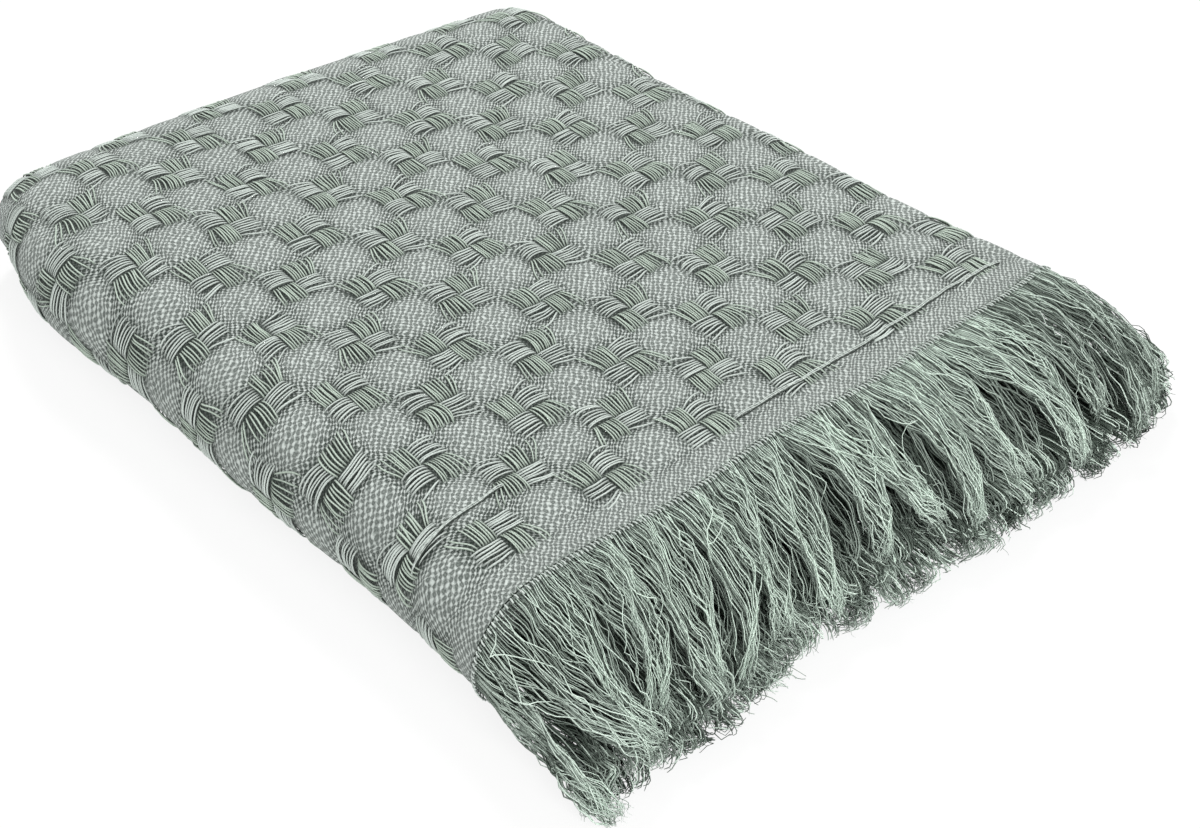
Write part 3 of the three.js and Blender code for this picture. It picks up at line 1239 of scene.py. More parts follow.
@dataclass
class Baskets(OuterYarns):
    """Baskets of floats: four blocks round a middle, warp and weft by turns like a pinwheel."""

    columns: tuple[int, int] = (-15, 15)
    rows: tuple[int, int] = (-3, 11)
    fine_points: int = 9
    rough_points: int = 5
    fine_sides: int = 4
    rough_sides: int = 3
    inner_gap: float = 0.0002
    width: float = 0.0103
    overlap: float = 0.0012
    root_lift: float = -0.0007
    bow: float = 0.0006
    weft_bow: float = 0.0004
    flare_power: float = 1.3
    plateau_power: int = 4
    # painted shade on the floats' ends, where they dive into the ground
    end_shade: float = 0.85

    # how the outermost yarns of a block may stray
    fan_power: float = 1.5
    stray_from: float = 0.8
    stray_fan: float = 0.35
    stray_share: Pair = (-0.3, 1.0)

    # how much one basket or yarn differs from the next
    middle_spread: float = 0.0004
    rank_spread: float = 0.01
    reach_spread: float = 0.0006
    sway_spread: Pair = (0.00018, 0.00012)
    crown_spread: float = 0.00016
    radius_spread: float = 0.1
    tone_spread: float = 0.1

    def build(self, finishes: dict[Thread, bpy.types.Material]) -> list[bpy.types.Object]:
        """Makes all the floats that lie on the outside of the stack.

        Args:
            finishes: Each set's material.

        Returns:
            One piece for the floats of each set on top, round the folds and underneath.
        """
        lots: dict[tuple[Thread, Place], list[Strands]] = {}
        for column in range(*self.columns):
            for row in range(*self.rows):
                middle = self.weave.place(column, row)
                place = self._place(*middle) if (column + row) % 2 else None
                if place is None:
                    continue
                points = self.rough_points if place is Place.UNDERNEATH else self.fine_points
                for thread, strands in self._basket(*middle, row % 2 == 0, points):
                    lots.setdefault((thread, place), []).append(strands)
        pieces = []
        for (thread, place), parts in lots.items():
            sides = self.rough_sides if place is Place.UNDERNEATH else self.fine_sides
            mesh = Strands.join(parts).mesh(f"{thread.value}_floats_{place.value}", sides)
            pieces.append(add_piece(mesh, finishes[thread]))
        return pieces

    def _place(self, m: float, n: float) -> Place | None:
        """Finds where a basket comes to lie.

        Args:
            m: Its middle across the straight pattern.
            n: And along it.

        Returns:
            The place, or None inside the stack.
        """
        drift_m, drift_n = self.weave.drift(np.array(m), np.array(n))
        u = float(self.throw.cloth_at(m + drift_m, n + drift_n)[0])
        across = self.throw.across
        first, under = across.span("bottom group")
        if not first < u < across.span("crease")[1]:
            return None
        if u < under:
            return Place.UNDERNEATH
        return Place.ON_TOP if self.throw.top_start < u < self.throw.top_end else Place.ROUND_FOLDS

    def _basket(self, m: float, n: float, even: bool, points: int) -> list[tuple[Thread, Strands]]:
        """The four blocks of one basket.

        Args:
            m: Middle across the pattern.
            n: Middle along it.
            even: Whether the row is an even one, which turns the pinwheel over.
            points: Points along each yarn.

        Returns:
            Each block's set and strands.
        """
        blocks = []
        m += self.random.normal(0, self.middle_spread)
        n += self.random.normal(0, self.middle_spread)
        for side in (-1, 1):
            for end in (-1, 1):
                kind = WARP_BLOCK if (side * end < 0) == even else WEFT_BLOCK
                across, along, *rest = self._block(kind, points)
                if kind.thread is Thread.WEFT:
                    across, along = along, across
                strands = self.on_pattern(m + side * across, n + end * along, *rest)
                blocks.append((kind.thread, strands))
        return blocks

    def _block(self, kind: Block, points: int) -> tuple[np.ndarray, ...]:
        """One block of floats that fan out away from the basket's middle.

        Args:
            kind: The block's kind.
            points: Points along each yarn.

        Returns:
            How far each point lies beside the middle and how far out along the yarn's own
            way, with its lift, radius, tone and shade.
        """
        draw, count = self.random, kind.strands
        t = np.linspace(0, 1, points)[None, :]
        rank = (np.arange(count) + 0.5) / count
        rank = (rank + draw.normal(0, self.rank_spread, count))[:, None]
        fan = draw.uniform(*kind.fan) * rank**self.fan_power
        fan = fan + (rank > self.stray_from) * draw.uniform(*self.stray_share) * self.stray_fan
        reach = kind.reach + draw.normal(0, self.reach_spread, (count, 1))
        start = self.inner_gap + self.width * rank
        half_wave = np.sin(math.pi * t)
        sway = draw.normal(0, self.sway_spread[0], (count, 1)) * half_wave
        sway = sway + draw.normal(0, self.sway_spread[1], (count, 1)) * wave(t, 1.0)
        sway = sway + draw.normal(0, 1) * self.bow * half_wave
        if kind.thread is Thread.WEFT:
            sway = sway + self.weft_bow * half_wave
        aside = start * (1 + fan * wave(t, 4.0) ** self.flare_power) + sway
        ahead = -self.overlap + (reach + self.overlap) * t
        tie = np.abs(2 * t - 1) ** self.plateau_power
        crown = kind.crown + draw.normal(0, self.crown_spread, (count, 1))
        lift = lerp(crown, self.root_lift, tie)
        radius = kind.radius * (1 + draw.normal(0, self.radius_spread, (count, 1)))
        tone = draw.normal(kind.tone, self.tone_spread, count)
        return aside, ahead, lift, radius, tone, self.end_shade * tie


@dataclass(frozen=True)
class SlackRun:
    """Where some long wefts lie slack: from one place of the pattern to another."""

    start: tuple[float, float]
    end: tuple[float, float]


@dataclass
class SlackWefts(OuterYarns):
    """A few long wefts that lie raised side by side on the ground; the hindmost is near black, a
    painted shadow of the others.
    """

    strands: int = 3
    points: int = 90
    sides: int = 4
    pitch: float = 0.0008
    radius: float = 0.00033
    lift: float = 0.0015
    shadow_drop: float = 0.0001
    sink: float = 0.0014
    sink_power: int = 24
    tone: float = 1.1
    shadow_tone: float = 0.05
    end_shade: float = 0.5
    twist_shade: float = 0.3
    twist: float = 0.0026

    # lengths of the waves along a run, and their sizes sideways and upwards
    long_wave: float = 0.031
    short_wave: float = 0.012
    rise_wave: float = 0.018
    wave_size: float = 0.00025
    short_share: float = 0.5
    rise: float = 0.0002

    runs = (
        SlackRun((0.137, 0.0215), (0.218, 0.0215)),
        SlackRun((0.214, 0.0215), (0.292, 0.0190)),
        SlackRun((-0.004, 0.0455), (0.043, 0.0505)),
    )

    def build(self, finish: bpy.types.Material) -> list[bpy.types.Object]:
        """Makes the slack wefts.

        Args:
            finish: The yarn's material.

        Returns:
            One piece.
        """
        mesh = Strands.join([self._run(run) for run in self.runs]).mesh("raised_wefts", self.sides)
        return [add_piece(mesh, finish)]

    def _run(self, run: SlackRun) -> Strands:
        """The wefts of one run.

        Args:
            run: Where they lie.

        Returns:
            Their strands.
        """
        t = np.linspace(0, 1, self.points)[None, :]
        rank = (np.arange(self.strands) - (self.strands - 1) / 2)[:, None]
        # the hindmost strand is a near-black painted shadow of the others
        painted_shadow = rank == rank.max()
        phase = self.random.uniform(0, TURN, (self.strands, 1))
        m = lerp(run.start[0], run.end[0], t)
        n = lerp(run.start[1], run.end[1], t) - rank * self.pitch
        bends = wave(m, self.long_wave) + self.short_share * wave(m, self.short_wave, phase)
        m, n = np.broadcast_arrays(m, n + self.wave_size * bends)
        ends = np.abs(2 * t - 1) ** self.sink_power
        lift = self.lift + self.rise * wave(m, self.rise_wave, phase)
        lift = lift - self.shadow_drop * painted_shadow - self.sink * ends
        tone = np.where(painted_shadow[:, 0], self.shadow_tone, self.tone)
        # painted shade on the ends, where they sink into the ground
        shade = self.end_shade * ends + self.twist_shade * wave(m, self.twist)
        return self.on_pattern(m, n, lift, self.radius, tone, shade)


@dataclass
class Hem(OuterYarns):
    """The short stitches at the header's edge, and under them a near-black strand of painted shadow
    in the dip.
    """

    points: int = 5
    sides: int = 4
    pitch: float = 0.0019
    pitch_spread: float = 0.00015
    start_back: float = 0.0008
    reach: float = 0.0021
    reach_share: Pair = (0.7, 1.2)
    start_lift: float = 0.0012
    end_lift: float = 0.0024
    rise: Pair = (0.0, 0.4)
    lean_spread: float = 0.0002
    radius: float = 0.00038
    tone: float = 1.5
    tone_spread: float = 0.1
    # a near-black strand of painted shadow under the stitches: how far back, in how many pieces,
    # its height and radius
    shadow_back: float = 0.0009
    shadow_pieces: int = 60
    shadow_lift: float = 0.0012
    shadow_radius: float = 0.0004

    def build(self, finish: bpy.types.Material) -> list[bpy.types.Object]:
        """Makes the hem.

        Args:
            finish: The yarn's material.

        Returns:
            One piece.
        """
        first = self.throw.across.span("wide fold")[0]
        last = self.throw.across.span("crease")[1]
        parts = [self._stitches(first, last), self._shadow_strand(first, last)]
        mesh = Strands.join(parts).mesh("hem_stitches", self.sides)
        return [add_piece(mesh, finish)]

    def _stitches(self, first: float, last: float) -> Strands:
        """The row of stitches, from behind the edge to just in front of it.

        Args:
            first: Where the row starts across the cloth.
            last: Where it ends.

        Returns:
            Their strands.
        """
        draw = self.random
        u = np.arange(first, last, self.pitch)
        count = len(u)
        u = (u + draw.normal(0, self.pitch_spread, count))[:, None]
        t = np.linspace(0, 1, self.points)[None, :]
        back = lerp(self.start_back, -self.reach * draw.uniform(*self.reach_share, (count, 1)), t)
        u = u + draw.normal(0, self.lean_spread, (count, 1)) * t
        v = self.throw.end_v - np.maximum(back, 0)
        lift = lerp(self.start_lift, self.end_lift, ramp(t, *self.rise))
        tone = draw.normal(self.tone, self.tone_spread, count)
        stitches = self.on_cloth((u, v), lift, self.radius, tone, 0.0)
        stitches.path[..., 1] += np.minimum(back, 0)
        return stitches

    def _shadow_strand(self, first: float, last: float) -> Strands:
        """A near-black strand of painted shadow under the stitches, in short pieces end to end.

        Args:
            first: Where it starts across the cloth.
            last: Where it ends.

        Returns:
            Its strands.
        """
        steps = self.points - 1
        line = np.linspace(first, last, 1 + steps * self.shadow_pieces)
        pick = steps * np.arange(self.shadow_pieces)[:, None] + np.arange(self.points)
        cloth = (line[pick], self.throw.end_v - self.shadow_back)
        return self.on_cloth(cloth, self.shadow_lift, self.shadow_radius, 0.0, 0.0)


# ---- The fringes ----------------------------------------------------------------------------


@dataclass(frozen=True)
class Lock:
    """A lock of the uppermost fringe: its share of the header and where its tip comes to lie.

    The brush is half its width at the tip, the sweep is how far it swings aside on the way, and
    the arch is how it rises as it leaves the header.
    """

    start: float
    end: float
    tip: tuple[float, float, float]
    brush: float = 0.005
    sweep: float = 0.0
    tone: float = 1.0
    arch: float = 0.003


# shares of the top group's header; tips from its left end, with the height last
TOP_LOCKS = (
    Lock(-0.080, 0.043, (0.027, 0.052, 0.012), 0.0065, -0.006),
    Lock(0.043, 0.118, (0.034, 0.044, 0.019), 0.0035, 0.002),
    Lock(0.118, 0.210, (0.061, 0.048, 0.012), 0.0065, -0.004),
    Lock(0.210, 0.262, (0.069, 0.051, 0.012), 0.0035, 0.003),
    Lock(0.262, 0.330, (0.093, 0.047, 0.019), 0.0040, -0.003),
    Lock(0.330, 0.420, (0.121, 0.049, 0.012), 0.0045, -0.005),
    Lock(0.420, 0.490, (0.150, 0.046, 0.022), 0.0050, 0.003),
    Lock(0.490, 0.570, (0.184, 0.046, 0.021), 0.0050, -0.008),
    Lock(0.570, 0.640, (0.199, 0.053, 0.014), 0.0040, 0.004),
    Lock(0.640, 0.720, (0.228, 0.051, 0.021), 0.0065, -0.003),
    Lock(0.720, 0.835, (0.265, 0.057, 0.014), 0.0060, 0.006),
    Lock(0.835, 0.930, (0.282, 0.049, 0.026), 0.0045, 0.004, 0.5),
    Lock(0.930, 0.985, (0.304, 0.060, 0.012), 0.0065, 0.002, 0.45, 0.007),
    Lock(0.985, 1.045, (0.338, 0.045, 0.016), 0.0060, -0.006, 0.5, 0.010),
)

# lower locks at the two front corners, those on the left from round the wide fold; the darkest are
# painted shade in the cavities between and behind the upper locks
CORNER_LOCKS = (
    Lock(-0.188, -0.084, (0.001, 0.059, 0.002), 0.0050, -0.001),
    Lock(-0.200, -0.115, (0.001, 0.051, 0.002), 0.0048, tone=0.85),
    Lock(-0.110, -0.060, (0.013, 0.045, 0.003), 0.0070, tone=0.15),
    Lock(-0.150, -0.090, (0.008, 0.043, 0.002), 0.0090, tone=0.1),
    Lock(0.96, 1.05, (0.330, 0.046, 0.011), 0.0120, tone=0.2),
    Lock(0.97, 1.04, (0.321, 0.053, 0.012), 0.0100, tone=0.5),
    Lock(1.0, 1.055, (0.333, 0.050, 0.006), 0.0100, tone=0.6),
)

# places along the front, from the left, and how far forward the lowest tufts reach there
CARPET_LINE = (
    (0.003, 0.050), (0.010, 0.055), (0.020, 0.057), (0.060, 0.057), (0.096, 0.051), (0.120, 0.052),
    (0.150, 0.056), (0.180, 0.056), (0.206, 0.060), (0.301, 0.060), (0.335, 0.053), (0.343, 0.042),
)


@dataclass(frozen=True)
class Bunch:
    """A bunch of hidden fringe: its share of a header and how its yarns run."""

    start: float
    end: float
    reach: float
    squeeze: float = 0.4
    tone: float = 1.0
    # how much painted shade darkens the bunch towards its roots
    dark: float = 0.6


@dataclass(frozen=True)
class Clump:
    """Strands that yarns gather in: their width, how much, and from where over how long."""

    width: float
    share: float
    begin: float
    over: float


@dataclass(frozen=True)
class Ripple:
    """A wave along a lock: its size sideways and upwards, and its turn in radians."""

    side: float
    lift: float
    turn: float


@dataclass
class LooseEnds:
    """Loose warp ends, and how they gather in strands and wave as they lie."""

    throw: FoldedThrow
    random: np.random.Generator
    radius: float = 0.00029
    radius_spread: float = 0.12
    root_back: float = 0.0026
    rooted_over: float = 0.22

    # the margin that keeps the count of strands above 0, and how waves shift across a lock
    clump_margin: float = 1.2
    phase_shift: float = 260.0

    # the curls of single yarns: their size, the shape and scale of its odds, and their turn
    curl: float = 0.00017
    curl_odds: Pair = (2.0, 0.7)
    curl_turn: Pair = (40.0, 75.0)
    curl_start: float = 0.5
    lift_turn: float = 0.9
    size_spread: Pair = (0.6, 1.4)

    clumps = (Clump(0.0019, 0.4, 0.0, 0.15), Clump(0.0047, 0.35, 0.2, 0.5))
    slow = Ripple(0.0019, 0.0014, 9.0)
    quick = Ripple(0.0006, 0.0005, 33.0)
    phase_rates = (1.0, 1.7, 1.3, 0.6)

    @staticmethod
    def steps(points: int, crowding: float) -> np.ndarray:
        """Shares of a yarn from root to tip, crowded towards the tip."""
        return 1 - (1 - np.linspace(0, 1, points)[None, :]) ** crowding

    def ranks(self, count: int) -> np.ndarray:
        """Sets yarns side by side, a little unevenly.

        Args:
            count: How many.

        Returns:
            Each yarn's place from -1 to 1, in a column.
        """
        rank = np.linspace(-1, 1, count, endpoint=False)[:, None] + 1 / count
        return rank + self.random.normal(0, 0.5 / count, (count, 1))

    def waves(self, rank: np.ndarray, half: float, t: np.ndarray) -> tuple[np.ndarray, ...]:
        """Gathers the yarns in strands and lets them wave.

        Args:
            rank: Each yarn's place from -1 to 1.
            half: Half the lock's width at its root.
            t: From root to tip.

        Returns:
            The pull towards the strand's middle as a change of rank, and the sideways and
            upward waves.
        """
        draw, count = self.random, len(rank)
        pull = 0.0
        for clump in self.clumps:
            strand = np.floor((rank + self.clump_margin) * half / clump.width)
            middle = (strand + 0.5) * clump.width / half - self.clump_margin
            pull = pull + (middle - rank) * clump.share * ramp(t, clump.begin, clump.over)
        shift = rank * half * self.phase_shift * np.array(self.phase_rates)
        phase = (draw.uniform(0, TURN, 4) + shift).T[:, :, None]
        size = draw.uniform(*self.size_spread, (count, 2)).T[:, :, None]
        own = draw.uniform(0, TURN, (count, 2)).T[:, :, None]
        turn = draw.uniform(*self.curl_turn, (count, 1)) * t
        curl = self.curl * draw.gamma(*self.curl_odds, (count, 1))
        rooted = smooth(t / self.rooted_over)
        side = self.slow.side * rooted * np.sin(self.slow.turn * t + phase[0])
        side = side + self.quick.side * size[0] * rooted * np.sin(self.quick.turn * t + phase[1])
        side = side + curl * rooted * (self.curl_start + t) * np.sin(turn + own[0])
        lift = self.slow.lift * t * np.sin(self.slow.turn * t + phase[2])
        lift = lift + self.quick.lift * size[1] * rooted * np.sin(self.quick.turn * t + phase[3])
        lift = lift + curl * rooted * np.sin(self.lift_turn * turn + own[1])
        return pull, side, lift


@dataclass
class UpperLocks(LooseEnds):
    """The locks of the uppermost fringe, and the stray yarns that curl out of them."""

    pitch: float = 0.00052
    overlap: float = 0.0025
    points: int = 26
    crowding: float = 1.25
    root_lift: float = 0.0006

    # the way of a lock: it gathers, leaves the header, comes in to its tip and ends uneven
    gather_from: Pair = (0.12, 0.28)
    gather_over: float = 0.6
    leave: Pair = (0.1, 0.5)
    arrive: tuple[float, float, float] = (0.55, 0.93, 0.45)
    longest: float = 1.02
    shorter: float = 0.055
    shorter_odds: Pair = (1.2, 0.8)
    tip: Pair = (0.7, 0.3)
    taper: float = 0.25
    spray: float = 0.0017

    # how deep the yarns lie over one another
    stack_share: Pair = (0.35, 1.0)
    least_depth: float = 0.0006
    depth: float = 0.003
    depth_rise: Pair = (0.1, 0.5)
    least_rounding: float = 0.05

    # thickness and tones: some yarns bright, the low ones dim and the roots dark, both painted
    # shade, and the tips light
    upper_radius: float = 0.8
    fine: float = 0.45
    fine_from: Pair = (0.75, 0.25)
    bright_share: float = 0.4
    bright_tone: Pair = (1.1, 1.7)
    dim_tone: Pair = (0.35, 0.9)
    low_tone: float = 0.4
    high_tone: float = 1.4
    shade: float = 0.05
    root_shade: float = 0.45
    root_length: float = 0.08
    tip_light: float = 0.55
    tip_light_from: Pair = (0.65, 0.3)

    # stray yarns: their size, how far they turn, and how they drift, fall back and rise
    stray_pitch: float = 0.006
    stray_size: float = 0.0035
    stray_odds: Pair = (2.0, 0.5)
    stray_turns: Pair = (0.2, 1.1)
    stray_begin: Pair = (0.05, 0.3)
    stray_over: Pair = (0.6, 0.7)
    stray_drift: float = 0.8
    stray_drift_over: float = 0.5
    stray_back: float = 0.8
    stray_rise: float = 0.7
    stray_rise_over: float = 0.3
    stray_sink: float = 0.4
    stray_tone: float = 0.4

    # a lock between two others: how far it stays back, how low it lies, its brush and its tone,
    # darker as painted shade for lying deeper
    between_back: float = 0.005
    between_height: float = 0.45
    between_brush: float = 0.009
    between_shade_tone: float = 0.42

    def hang(self, lock: Lock, thin: float = 1.0, stray: bool = False) -> Strands:
        """The yarns of a lock, each on a curve from the header to the lock's tip.

        Args:
            lock: The lock.
            thin: How many times fewer yarns than the lock has room for.
            stray: Whether these are the few yarns that curl out of it.

        Returns:
            The strands.
        """
        draw, throw = self.random, self.throw
        width = (lock.end - lock.start) * throw.run + self.overlap
        count = max(2, round(width / (self.stray_pitch if stray else self.pitch * thin)))
        t = self.steps(self.points, self.crowding)
        rank = self.ranks(count)
        centre = throw.top_start + throw.run * (lock.start + lock.end) / 2
        root = throw.point(centre + rank * width / 2, throw.end_v - self.root_back, -self.root_lift)
        middle = throw.point(centre, throw.end_v, 0.0)
        pull, side, lift = self.waves(rank, width / 2, t)
        gap = throw.shift + np.array([lock.tip[0], -lock.tip[1], lock.tip[2]]) - middle
        gather = ramp(t, draw.uniform(*self.gather_from, (count, 1)), self.gather_over)
        stretch = self.longest - self.shorter * draw.gamma(*self.shorter_odds, (count, 1))
        path = middle + self._curve(gap, lock.arch, (t * stretch)[..., None])
        path = path + (root - middle) * (1 - gather)[..., None]
        taper = 1 - self.taper * ramp(t, *self.tip)
        brush = lock.brush * taper
        aside = side + rank * brush * gather + pull * lerp(width / 2, brush, gather)
        aside = aside + draw.normal(0, self.spray, (count, 1)) * ramp(t, *self.tip)
        aside = aside + lock.sweep * np.sin(math.pi * t)
        way = gap[:2] / np.linalg.norm(gap[:2])
        path = path + np.array([-way[1], way[0], 0.0]) * aside[..., None]
        upper = (np.arange(count) % 2)[:, None]
        stack = draw.uniform(*self.stack_share, (count, 1)) * (2 * upper - 1)
        rounding = np.sqrt(np.clip(1 - rank**2, self.least_rounding, 1)) * taper
        depth = self.least_depth + self.depth * ramp(t, *self.depth_rise) * rounding
        path[..., 2] += stack * depth + lift
        if stray:
            self._stray(path, t)
            stack, upper = np.abs(stack), np.ones_like(upper)
        radius = self.radius * lerp(1.0, self.upper_radius, upper)
        radius = radius * (1 + draw.normal(0, self.radius_spread, (count, 1)))
        radius = radius * (1 - self.fine * ramp(t, *self.fine_from))
        tone = lock.tone * self._tones(count)
        # painted shade: yarns low in the lock darker, and the roots darker
        tone = tone * lerp(self.low_tone, self.high_tone, (stack[:, 0] + 1) / 2)
        shade = self.shade + self.root_shade * (1 - smooth(t / self.root_length))
        shade = shade - self.tip_light * ramp(t, *self.tip_light_from)
        return Strands(path, radius, tone + stray * self.stray_tone, shade)

    def _curve(self, gap: np.ndarray, arch: float, s: np.ndarray) -> np.ndarray:
        """The way from the header to the tip, as a curve with two handles.

        Args:
            gap: From the header to the tip.
            arch: Height of the first handle.
            s: Places along the curve, with an axis to spare.

        Returns:
            The way's points from its start.
        """
        first = np.array([self.leave[0] * gap[0], self.leave[1] * gap[1], arch])
        second = gap * np.array(self.arrive)
        return 3 * (1 - s) ** 2 * s * first + 3 * (1 - s) * s**2 * second + s**3 * gap

    def _stray(self, path: np.ndarray, t: np.ndarray) -> None:
        """Lets single yarns curl out of a lock.

        Args:
            path: Their points, which it moves.
            t: From root to tip.
        """
        draw, column = self.random, (len(path), 1)
        turns = draw.uniform(*self.stray_turns, column) * TURN
        begin = draw.uniform(*self.stray_begin, column)
        angle = turns * ramp(t, begin, draw.uniform(*self.stray_over, column))
        size = self.stray_size * draw.gamma(*self.stray_odds, column)
        way = np.sign(draw.normal(0, 1, column))
        drift = self.stray_drift * ramp(t, begin, self.stray_drift_over)
        path[..., 0] += way * size * (np.sin(angle) + drift)
        path[..., 1] += self.stray_back * size * (1 - np.cos(angle))
        rise = smooth(t / self.stray_rise_over) * (1 - self.stray_sink * t)
        path[..., 2] += self.stray_rise * size * rise

    def _tones(self, count: int) -> np.ndarray:
        """Makes some yarns bright and the others dim.

        Args:
            count: How many yarns.

        Returns:
            Their tones.
        """
        draw = self.random
        bright = draw.uniform(0, 1, count) < self.bright_share
        high, low = draw.uniform(*self.bright_tone, count), draw.uniform(*self.dim_tone, count)
        return np.where(bright, high, low)

    def between(self, left: Lock, right: Lock) -> Lock:
        """A lower lock that fills the gap between two upper ones, darker as painted shade for lying
        under them.

        Args:
            left: The lock on the left.
            right: The lock on the right.

        Returns:
            The lock.
        """
        ahead, out, up = (np.array(left.tip) + np.array(right.tip)) / 2
        start, end = (left.start + left.end) / 2, (right.start + right.end) / 2
        tip = (ahead, out - self.between_back, up * self.between_height)
        return Lock(start, end, tip, self.between_brush, tone=self.between_shade_tone)


@dataclass
class LowerBunches(LooseEnds):
    """The fringe of the hidden headers, in bunches with thick cores, near black as painted shade
    that fills the gaps between the yarns.
    """

    pitch: float = 0.0021
    core_pitch: float = 0.0048
    core_radius: float = 0.0019
    core_reach: float = 0.86
    core_drop: float = 1.5
    points: int = 15
    crowding: float = 2.1
    set_back: float = 0.007
    bound_spread: float = 0.07

    # the way of a bunch: it gathers, spreads, curls at its tip and ends uneven
    gather: Pair = (0.1, 0.65)
    reach_spread: float = 0.035
    reach_round: float = 0.08
    side_share: float = 1.4
    lift_share: float = 1.3
    stray: float = 0.004
    stray_from: Pair = (0.4, 0.6)
    hook: Pair = (0.0006, 0.0028)
    hook_from: Pair = (0.6, 0.25)
    hook_turn: float = 30.0
    depth: float = 0.0022
    depth_over: float = 0.6

    # thickness and tones: the cores near black and the roots dark, both painted shade, and light
    # tips
    yarn_share: float = 1.1
    fine: float = 0.5
    fine_from: Pair = (0.8, 0.2)
    core_shade_tone: Pair = (0.1, 0.4)
    yarn_tone: Pair = (0.5, 1.25)
    shade_until: Pair = (0.72, 0.25)
    tip_light: float = 0.2
    tip_light_from: Pair = (0.85, 0.15)

    def bunches(self, stretch: str, reaches: tuple[float, ...], **kind: float) -> list[Bunch]:
        """Divides a stretch of a header into bunches.

        Args:
            stretch: The stretch's name.
            reaches: How far each bunch lies forward.
            kind: What else the bunches share.

        Returns:
            The bunches in order.
        """
        first, last = self.throw.across.span(stretch)
        count = len(reaches)
        bounds = np.linspace(first, last, count + 1)
        shift = self.random.normal(0, self.bound_spread, count - 1)
        bounds[1:-1] += shift * (last - first) / count
        return [Bunch(a, b, r, **kind) for a, b, r in zip(bounds, bounds[1:], reaches)]

    def lay(self, bunch: Bunch, height: float, core: bool = False) -> Strands:
        """The yarns of one bunch.

        Args:
            bunch: The bunch.
            height: Height of its header in the group.
            core: Whether these are the thick, dark strands in the middle of the bunch.

        Returns:
            The strands.
        """
        draw = self.random
        width = bunch.end - bunch.start
        count = max(4, round(width / (self.core_pitch if core else self.pitch)))
        column = (count, 1)
        t = self.steps(self.points, self.crowding)
        rank = self.ranks(count)
        gather = 1 - (1 - bunch.squeeze) * ramp(t, *self.gather)
        pull, side, lift = self.waves(rank, width / 2, t)
        reach = 1 + draw.normal(0, self.reach_spread, column) - self.reach_round * rank**2
        reach = (bunch.reach * reach + self.set_back) * (self.core_reach if core else 1.0)
        forward = lerp(-self.root_back, reach, t)
        across = (bunch.start + bunch.end) / 2 + (rank + pull) * width / 2 * gather
        path = self.throw.fringe_point(across, forward, height)
        stray = draw.normal(0, self.stray, column) * ramp(t, *self.stray_from)
        path[..., 0] += self.side_share * side + stray
        turn = draw.uniform(0, TURN, column) + draw.normal(0, self.hook_turn, column) * t
        hook = draw.uniform(*self.hook, column) * ramp(t, *self.hook_from) * (not core)
        path[..., 0] += hook * np.sin(turn)
        path[..., 1] += hook * np.cos(turn)
        depth = self.depth * smooth(t / self.depth_over)
        path[..., 2] += draw.uniform(-1, 1, column) * depth + self.lift_share * lift
        thick = self.core_radius if core else self.yarn_share * self.radius
        path[..., 2] -= self.core_drop * core * thick
        radius = thick * (1 + draw.normal(0, self.radius_spread, column))
        radius = radius * (1 - self.fine * ramp(t, *self.fine_from))
        # the cores near black, painted shade
        tone = draw.uniform(*(self.core_shade_tone if core else self.yarn_tone), count)
        tone = bunch.tone * tone ** (1 if core else 2)
        # painted shade towards the roots; the tips lighter
        shade = bunch.dark * (1 - ramp(t, *self.shade_until))
        return Strands(path, radius, tone, shade - self.tip_light * ramp(t, *self.tip_light_from))


